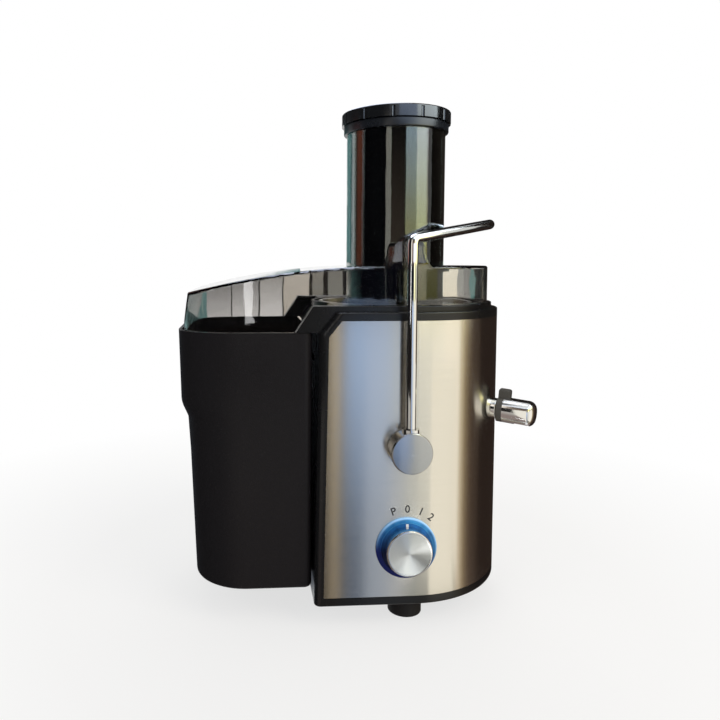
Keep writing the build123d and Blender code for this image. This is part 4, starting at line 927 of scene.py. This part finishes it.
@dataclass
class Drive:
    """Motor, coupling and cutting basket with its perforated sieve."""

    wall: float = 0.9 * MM
    foot_radius: float = 46.5 * MM
    top_radius: float = 63.5 * MM
    rim_width: float = 3.0 * MM
    rim_height: float = 4.0 * MM
    rim_round: float = 0.6 * MM
    rows: int = 18
    columns: int = 110
    web: float = 0.55 * MM

    def sieve(self) -> None:
        """Spins the sieve's cone, opens its holes, gives it thickness and turns its rim.

        The holes are drawn about three times as wide as the etched ones of such a sieve, so that they show.
        """
        low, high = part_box("filter_basket")
        rim = high.z - self.rim_height
        rise, spread = (rim - low.z) / self.rows, (self.top_radius - self.foot_radius) / self.rows
        cone = turned([(self.foot_radius + i * spread, low.z + i * rise) for i in range(self.rows + 1)],
                      self.columns)
        bmesh.ops.reverse_faces(cone, faces=[f for f in cone.faces if f.normal.z > 0])
        holed = [f for f in cone.faces if low.z + rise < f.calc_center_median().z < rim - rise]
        bmesh.ops.inset_individual(cone, faces=holed, thickness=self.web, use_even_offset=True)
        bmesh.ops.delete(cone, geom=holed, context="FACES_ONLY")
        bmesh.ops.solidify(cone, geom=cone.faces[:], thickness=self.wall)
        made = piece("sieve_cone", cone, PRESSED_STEEL, Body.ROTOR)
        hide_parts("filter_basket")
        inner, outer = self.top_radius - self.wall, self.top_radius + self.rim_width
        ring = turned([(inner, rim), (outer, rim), (outer, high.z), (inner, high.z), (inner, rim)],
                      self.columns)
        soften(ring, self.rim_round)
        piece("sieve_rim", ring, PRESSED_STEEL, Body.ROTOR)

    def build(self) -> None:
        """Makes the sieve and dresses the drive's nodes."""
        self.sieve()
        dress(PRESSED_STEEL, "grating_disc")
        dress(NYLON, "basket_hub", "drive_coupling", "cooling_fan")
        dress(GROUND_STEEL, "motor_shaft", "bearing_upper", "bearing_lower")
        dress(LAMINATED, "stator", "armature")
        dress(COPPER, "field_coils", "commutator")
        dress(CARBON, "carbon_brushes")
        dress(BRASS, "brush_holders")
        dress(DIE_CAST, "motor_bracket_upper", "motor_bracket_lower")


@dataclass(frozen=True)
class Card:
    """A studio card that only mirrors and clear walls show: part of a ring round the motor's axis.

    It stands from start to end, in degrees from the front, and has one colour or fades from top to foot.
    """

    name: str
    start: float
    end: float
    tier: Tier
    strength: float
    top: str
    foot: str = ""
    ring: Ring = Ring.MAIN
    seen: Seen = Seen.BOTH


@dataclass(frozen=True)
class Lamp:
    """A soft square lamp: its place and side in metres, its watts and its colour."""

    name: str
    place: tuple[float, float, float]
    side: float
    watts: float
    colour: str


@dataclass
class Studio:
    """Floor, reflector cards, lamps, world and camera."""

    floor_size: float = 3.0
    floor_sides: int = 96
    floor_fade: tuple[float, float] = (0.25, 0.6)
    floor_colour: str = "#e6e5e2"
    floor_share: float = 0.7
    level: float = 0.6
    lens: float = 33.0
    sensor: float = 36.0
    eye: tuple[float, float, float] = (-129.0 * MM, -573.2 * MM, 284.3 * MM)
    yaw: float = 3.73
    pitch: float = 4.0
    shift: tuple[float, float] = (0.0972, -0.0722)
    card_step: float = 3.0
    card_least: int = 2
    cards: tuple[Card, ...] = (
        Card("left_dark", -95.0, -50.0, Tier.SIDE, 0.4, "#3a3634"),
        Card("linen", -50.0, -16.0, Tier.LINEN, 0.9, "#d0ccc4", "#a4958e", seen=Seen.MIRRORED),
        Card("left_upper", -50.0, -16.0, Tier.UPPER, 0.4, "#3a3634"),
        Card("left_edge", -16.0, -10.8, Tier.SIDE, 0.4, "#3a3634"),
        Card("tan", -10.8, -8.6, Tier.SKIN, 1.2, "#e4d4b4", "#b0a084"),
        Card("seam", -8.6, -7.4, Tier.SKIN, 1.0, "#847c70", "#3c3a38"),
        Card("blue", -7.4, -2.4, Tier.SKIN, 1.3, "#aecbf6", "#525d70"),
        Card("pale", -2.4, 3.5, Tier.SKIN, 1.15, "#c0d6fb", "#a2acbc"),
        Card("white", 3.5, 7.0, Tier.SKIN, 1.0, "#ccdcf0", "#c4c8ce"),
        Card("ivory", 7.0, 11.0, Tier.CREAM, 1.0, "#fafaf2", "#cfd1cb"),
        Card("wool", 11.0, 22.0, Tier.CREAM, 1.1, "#fcfaf0", "#dadad2"),
        Card("cream", 22.0, 34.0, Tier.CREAM, 1.18, "#fffbef", "#fff9ec"),
        Card("cream_bright", 34.0, 51.5, Tier.CREAM, 1.24, "#fff8ea"),
        Card("wool_foot", 7.0, 22.0, Tier.FOOT, 1.0, "#7c7e7a"),
        Card("cream_foot", 22.0, 51.5, Tier.FOOT, 1.0, "#a09a8e"),
        Card("honey", 51.5, 56.5, Tier.SKIN, 1.0, "#dccdaa", "#d2c0a0"),
        Card("amber", 56.5, 61.5, Tier.SKIN, 1.0, "#958468", "#8a775c"),
        Card("umber", 61.5, 67.0, Tier.SKIN, 1.0, "#685848", "#625245"),
        Card("brown", 67.0, 79.0, Tier.DARK, 1.0, "#4c4038", "#4a3e36"),
        Card("dark", 79.0, 128.0, Tier.DARK, 1.0, "#2e2521", "#302723"),
        Card("clay", 67.0, 165.0, Tier.CLAY, 0.9, "#a0928c"),
        Card("rear_dark", 128.0, 165.0, Tier.REAR, 1.0, "#2e2521", "#302723", seen=Seen.MIRRORED),
        Card("rear_pale", 165.0, 190.0, Tier.DARK, 1.0, "#d0d6de", "#9aa0a8", seen=Seen.MIRRORED),
        Card("rear_cool", 190.0, 225.0, Tier.DARK, 1.0, "#b0b9c6", "#848b95", seen=Seen.MIRRORED),
        Card("rear_slate", 225.0, 265.0, Tier.DARK, 1.0, "#70777f", "#50555c", seen=Seen.MIRRORED),
        Card("spout_bounce", 14.0, 34.0, Tier.SPOUT, 1.13, "#fffaec", ring=Ring.SPOUT),
        Card("fan_upper", 4.4, 9.0, Tier.UPPER_FAN, 3.2, "#ffffff", ring=Ring.DIAL),
        Card("fan_lower", -1.6, 2.8, Tier.LOWER_FAN, 4.2, "#ffffff", ring=Ring.DIAL),
        Card("fan_left", -1.6, 2.8, Tier.UPPER_FAN, 1.0, "#202020", ring=Ring.DIAL),
        Card("fan_right", 4.4, 9.0, Tier.LOWER_FAN, 1.0, "#202020", ring=Ring.DIAL),
        Card("lid_dark", -110.0, -31.8, Tier.LID, 1.0, "#202022"),
        Card("lid_bar", -31.8, -29.6, Tier.LID, 6.0, "#ffffff", seen=Seen.MIRRORED),
        Card("lid_black", -29.6, -10.8, Tier.LID, 1.0, "#202022"),
        Card("lid_navy", -10.8, 8.0, Tier.WALL, 1.0, "#1e2030"),
        Card("lid_olive", 8.0, 20.0, Tier.WALL, 3.2, "#d8d4b4", "#b8b48c"),
        Card("lid_moss", 20.0, 32.0, Tier.WALL, 2.4, "#a8a478", "#8c8c58"),
        Card("lid_haze", 32.0, 66.0, Tier.WALL, 1.0, "#e0dccc"),
        Card("lid_far", 66.0, 128.0, Tier.WALL, 1.0, "#2a2a28"),
        Card("back_gaps", -180.0, -126.0, Tier.BACK, 1.0, "#3a3632", ring=Ring.UNDER, seen=Seen.THROUGH),
        Card("back_teal", -133.4, -95.0, Tier.BACK, 1.0, "#8fb8b8", "#7fa9a8", seen=Seen.THROUGH),
        Card("back_left", -143.6, -133.4, Tier.PANE, 1.25, "#504e4a", "#ffffff", seen=Seen.THROUGH),
        Card("back_pane", -152.4, -144.0, Tier.PANE, 1.4, "#5c5b57", "#ffffff", seen=Seen.THROUGH),
        Card("back_right", -159.9, -152.9, Tier.PANE, 1.5, "#9a9892", "#ffffff", seen=Seen.THROUGH),
        Card("back_end", -168.0, -160.3, Tier.PANE, 1.4, "#e2dcd2", "#d6d0c4", seen=Seen.THROUGH),
        Card("back_grey", -172.2, -168.8, Tier.PANE, 1.0, "#c4c0b6", "#95978f", seen=Seen.THROUGH),
        Card("back_stone", -177.8, -173.6, Tier.PANE, 1.0, "#b0afa7", "#b8b9b1", seen=Seen.THROUGH),
        Card("back_navy", 160.5, 182.2, Tier.BACK, 1.0, "#16171f", ring=Ring.UNDER, seen=Seen.THROUGH),
        Card("back_olive", 155.2, 160.5, Tier.BACK, 1.0, "#a8a478", "#8a8a50", seen=Seen.THROUGH),
        Card("back_cream", 147.8, 155.2, Tier.BACK, 1.8, "#fffbe8", "#fff6dc", seen=Seen.THROUGH),
        Card("back_haze", 142.8, 147.8, Tier.BACK, 1.2, "#c0c2be", "#d0ccc4", seen=Seen.THROUGH),
        Card("back_green", 140.4, 142.8, Tier.BACK, 1.2, "#8fc0bc", seen=Seen.THROUGH),
        Card("back_dark", 118.0, 140.4, Tier.BACK, 1.0, "#3c3f3f", seen=Seen.THROUGH),
        Card("lug_light", -4.0, 14.0, Tier.LUG, 2.0, "#d8dce6", ring=Ring.DIAL),
        Card("teal", -165.0, -128.0, Tier.CHUTE, 0.7, "#6f9a9c"),
        Card("left_pale", -128.0, -116.0, Tier.CHUTE, 1.6, "#d5d8da"),
        Card("left_brown", -116.0, -106.0, Tier.CHUTE, 0.8, "#7a6258", "#6a5248"),
        Card("left_red", -106.0, -90.0, Tier.CHUTE, 1.0, "#b86a56", "#a86450"),
        Card("left_line", -90.0, -86.0, Tier.CHUTE, 1.2, "#c8c8cc", "#a8a0a0"),
        Card("left_black", -86.0, -32.4, Tier.CHUTE, 1.0, "#15151a", seen=Seen.AFTER),
        Card("stripe", -32.4, -21.0, Tier.CHUTE, 1.3, "#fff6ea", seen=Seen.AFTER),
        Card("middle", -21.0, 10.0, Tier.CHUTE, 1.0, "#2a2828", "#8a786a", seen=Seen.AFTER),
        Card("window_left", 10.0, 34.0, Tier.CHUTE, 2.4, "#d8ecff", "#cfc05c", seen=Seen.AFTER),
        Card("window", 34.0, 62.0, Tier.CHUTE, 4.2, "#f4f8fc", "#dcd684", seen=Seen.AFTER),
        Card("right_inner", 62.0, 72.0, Tier.CHUTE, 1.0, "#2a2522", "#241f1c", seen=Seen.THROUGH),
        Card("arm_light", 62.0, 72.0, Tier.CHUTE, 1.0, "#f4f6f4", "#e4e6e0", seen=Seen.MIRRORED),
        Card("right_dark", 72.0, 160.0, Tier.CHUTE, 1.0, "#2a2522", "#241f1c"),
        Card("cap_left", -165.0, -24.0, Tier.CAP, 1.0, "#3c3e40"),
        Card("cap_grey", -24.0, -6.0, Tier.CAP, 2.0, "#b0b4ba", "#a0a4aa", seen=Seen.MIRRORED),
        Card("cap_blue", -6.0, 28.0, Tier.CAP, 5.0, "#b8cce8", "#9aaac4", seen=Seen.MIRRORED),
        Card("cap_light", 28.0, 74.0, Tier.CAP, 8.5, "#e4ecf0", "#c8d4d8", seen=Seen.MIRRORED),
        Card("cap_right", 74.0, 165.0, Tier.CAP, 1.0, "#2c2c2c"),
        Card("lift_left", -165.0, -24.0, Tier.LIFT, 1.0, "#3c3e40"),
        Card("lift_front", -24.0, 95.0, Tier.LIFT, 1.2, "#eef2f4"),
        Card("lift_right", 95.0, 165.0, Tier.LIFT, 1.0, "#2c2c2c"),
    )
    sky: Card = Card("overhead", 0.0, 0.0, Tier.OVERHEAD, 5.0, "#dfe8ff")
    sky_across: tuple[float, float] = (-0.25, 0.06)
    sky_along: tuple[float, float] = (-0.08, 0.45)
    lamps: tuple[Lamp, ...] = (
        Lamp("key", (0.9, -1.0, 1.1), 0.9, 9.0, "#fff6ea"),
        Lamp("fill", (-1.1, -0.9, 0.8), 1.0, 5.0, "#eef4ff"),
        Lamp("back", (0.2, 1.2, 1.2), 1.0, 6.0, "#ffffff"),
    )
    lamps_aim: float = 0.2

    def stand(self, card: Card) -> None:
        """Stands one card up on its ring.

        Args:
            card: The card.
        """
        shape = bmesh.new()
        turn = Matrix.Rotation(math.radians(card.start), 3, "Z")
        ends = [shape.verts.new(AXIS + turn @ Vector((0, -card.ring.value, z))) for z in card.tier.value]
        edge = shape.edges.new(ends)
        width = card.end - card.start
        bmesh.ops.spin(shape, geom=ends + [edge], cent=AXIS, axis=UP, angle=math.radians(width),
                       steps=max(self.card_least, int(width / self.card_step)))
        self.hang(card, shape)

    def overhead(self) -> None:
        """Hangs one level card over the object, for the light along its upper edges."""
        left, right = self.sky_across
        front, back = self.sky_along
        height = self.sky.tier.value[1]
        shape = bmesh.new()
        corners = ((left, front), (right, front), (right, back), (left, back))
        shape.faces.new([shape.verts.new((AXIS_X + x, y, height)) for x, y in corners])
        self.hang(self.sky, shape)

    def hang(self, card: Card, shape: BMesh) -> None:
        """Gives a card its glow and hides it from all but mirrored and see-through rays.

        Args:
            card: The card.
            shape: Its mesh, which is freed.
        """
        low, top = card.tier.value
        name = "card_" + card.name
        paint = blank(name)
        # Only mirrored and see-through rays meet cards, so they aren't sampled as lamps
        paint.cycles.emission_sampling = "NONE"
        tree = paint.node_tree
        where = add(tree, "SeparateXYZ", {0: add(tree, "TexCoord").outputs["Object"]})
        share = add(tree, "MapRange", {
            "Value": where.outputs["Z"], "From Min": max(low, 0.0), "From Max": top})
        tone = add(tree, "Mix", {
            SHARE: share.outputs["Result"], FIRST: linear(card.foot or card.top), SECOND: linear(card.top)},
            data_type="RGBA")
        glow = add(tree, "Emission", {"Color": tone.outputs[MIXED], "Strength": card.strength})
        shown = glow.outputs["Emission"]
        if card.seen is Seen.AFTER:
            met = add(tree, "LightPath").outputs["Glossy Depth"]
            clear = add(tree, "BsdfTransparent").outputs["BSDF"]
            shown = add(tree, "MixShader", {0: met, 1: clear, 2: shown}).outputs["Shader"]
        add(tree, "OutputMaterial", {"Surface": shown})
        made = placed(name, shape, paint)
        made.visible_camera = False
        made.visible_diffuse = False
        made.visible_shadow = False
        made.visible_glossy = card.seen is not Seen.THROUGH
        made.visible_transmission = card.seen is not Seen.MIRRORED

    def sight(self, tree: NodeTree) -> NodeSocket:
        """Adds a socket that is 1 for camera, mirrored and see-through rays.

        Args:
            tree: The tree to add to.
        Returns:
            The socket.
        """
        path = add(tree, "LightPath")
        first = add(tree, "Math", {
            0: path.outputs["Is Camera Ray"], 1: path.outputs["Is Glossy Ray"]}, operation="MAXIMUM")
        both = add(tree, "Math", {
            0: first.outputs["Value"], 1: path.outputs["Is Transmission Ray"]}, operation="MAXIMUM")
        return both.outputs["Value"]

    def floor(self) -> None:
        """Lays a pale floor that keeps the shadow and turns white further out."""
        shape = bmesh.new()
        bmesh.ops.create_circle(shape, cap_ends=True, segments=self.floor_sides, radius=self.floor_size)
        paint = blank("floor_pale_paper")
        tree = paint.node_tree
        where = add(tree, "TexCoord").outputs["Object"]
        away = add(tree, "VectorMath", {0: where}, operation="LENGTH").outputs["Value"]
        near, far = self.floor_fade
        fade = add(tree, "MapRange", {
            "Value": away, "From Min": near, "From Max": far, "To Min": self.floor_share, "To Max": 1.0})
        share = add(tree, "Math", {
            0: fade.outputs["Result"], 1: self.sight(tree)}, operation="MULTIPLY")
        paper = add(tree, "BsdfDiffuse", {"Color": linear(self.floor_colour)})
        white = add(tree, "Emission", {"Color": WHITE, "Strength": 1.0})
        both = add(tree, "MixShader", {
            0: share.outputs["Value"], 1: paper.outputs["BSDF"], 2: white.outputs["Emission"]})
        add(tree, "OutputMaterial", {"Surface": both.outputs["Shader"]})
        made = placed("floor", shape, paint)
        made.visible_glossy = False

    def light(self, lamp: Lamp) -> None:
        """Hangs one lamp that points at the object.

        Args:
            lamp: The lamp.
        """
        data = bpy.data.lights.new(lamp.name, "AREA")
        data.size = lamp.side
        data.energy = lamp.watts
        data.color = linear(lamp.colour)[:3]
        made = bpy.data.objects.new(lamp.name, data)
        made.location = lamp.place
        ray = Vector((AXIS_X, 0, self.lamps_aim)) - Vector(lamp.place)
        made.rotation_euler = ray.to_track_quat("-Z", "Y").to_euler()
        made.visible_glossy = False
        bpy.context.scene.collection.objects.link(made)

    def world(self) -> None:
        """Makes a world that is white to the eye and to mirrors, and a plain level of light otherwise."""
        made = bpy.data.worlds.new("studio")
        made.use_nodes = True
        tree = made.node_tree
        tree.nodes.clear()
        plain = add(tree, "Background", {"Color": WHITE, "Strength": self.level})
        white = add(tree, "Background", {"Color": WHITE, "Strength": 1.0})
        both = add(tree, "MixShader", {
            0: self.sight(tree), 1: plain.outputs["Background"], 2: white.outputs["Background"]})
        add(tree, "OutputWorld", {"Surface": both.outputs["Shader"]})
        bpy.context.scene.world = made

    def camera(self) -> None:
        """Sets the camera where the photograph was taken from."""
        data = bpy.data.cameras.new("camera")
        data.lens = self.lens
        data.sensor_width = self.sensor
        data.sensor_fit = "HORIZONTAL"
        data.shift_x, data.shift_y = self.shift
        made = bpy.data.objects.new("camera", data)
        made.location = Vector(self.eye) + AXIS
        made.rotation_euler = (math.radians(90 - self.pitch), 0.0, math.radians(-self.yaw))
        bpy.context.scene.collection.objects.link(made)
        bpy.context.scene.camera = made

    def build(self) -> None:
        """Sets the studio up."""
        self.floor()
        for card in self.cards:
            self.stand(card)
        self.overhead()
        for lamp in self.lamps:
            self.light(lamp)
        self.world()
        self.camera()
        bpy.context.scene.view_settings.view_transform = "Standard"


def main() -> None:
    """Builds every sub-assembly and the studio."""
    logging.basicConfig(level=logging.INFO, format="%(message)s")
    for part in (Base(), Container(), Lid(), Pusher(), Bail(), Dial(), Spout(), Drive(), Studio()):
        LOG.info("Building %s", type(part).__name__)
        part.build()


if __name__ == "__main__":
    main()
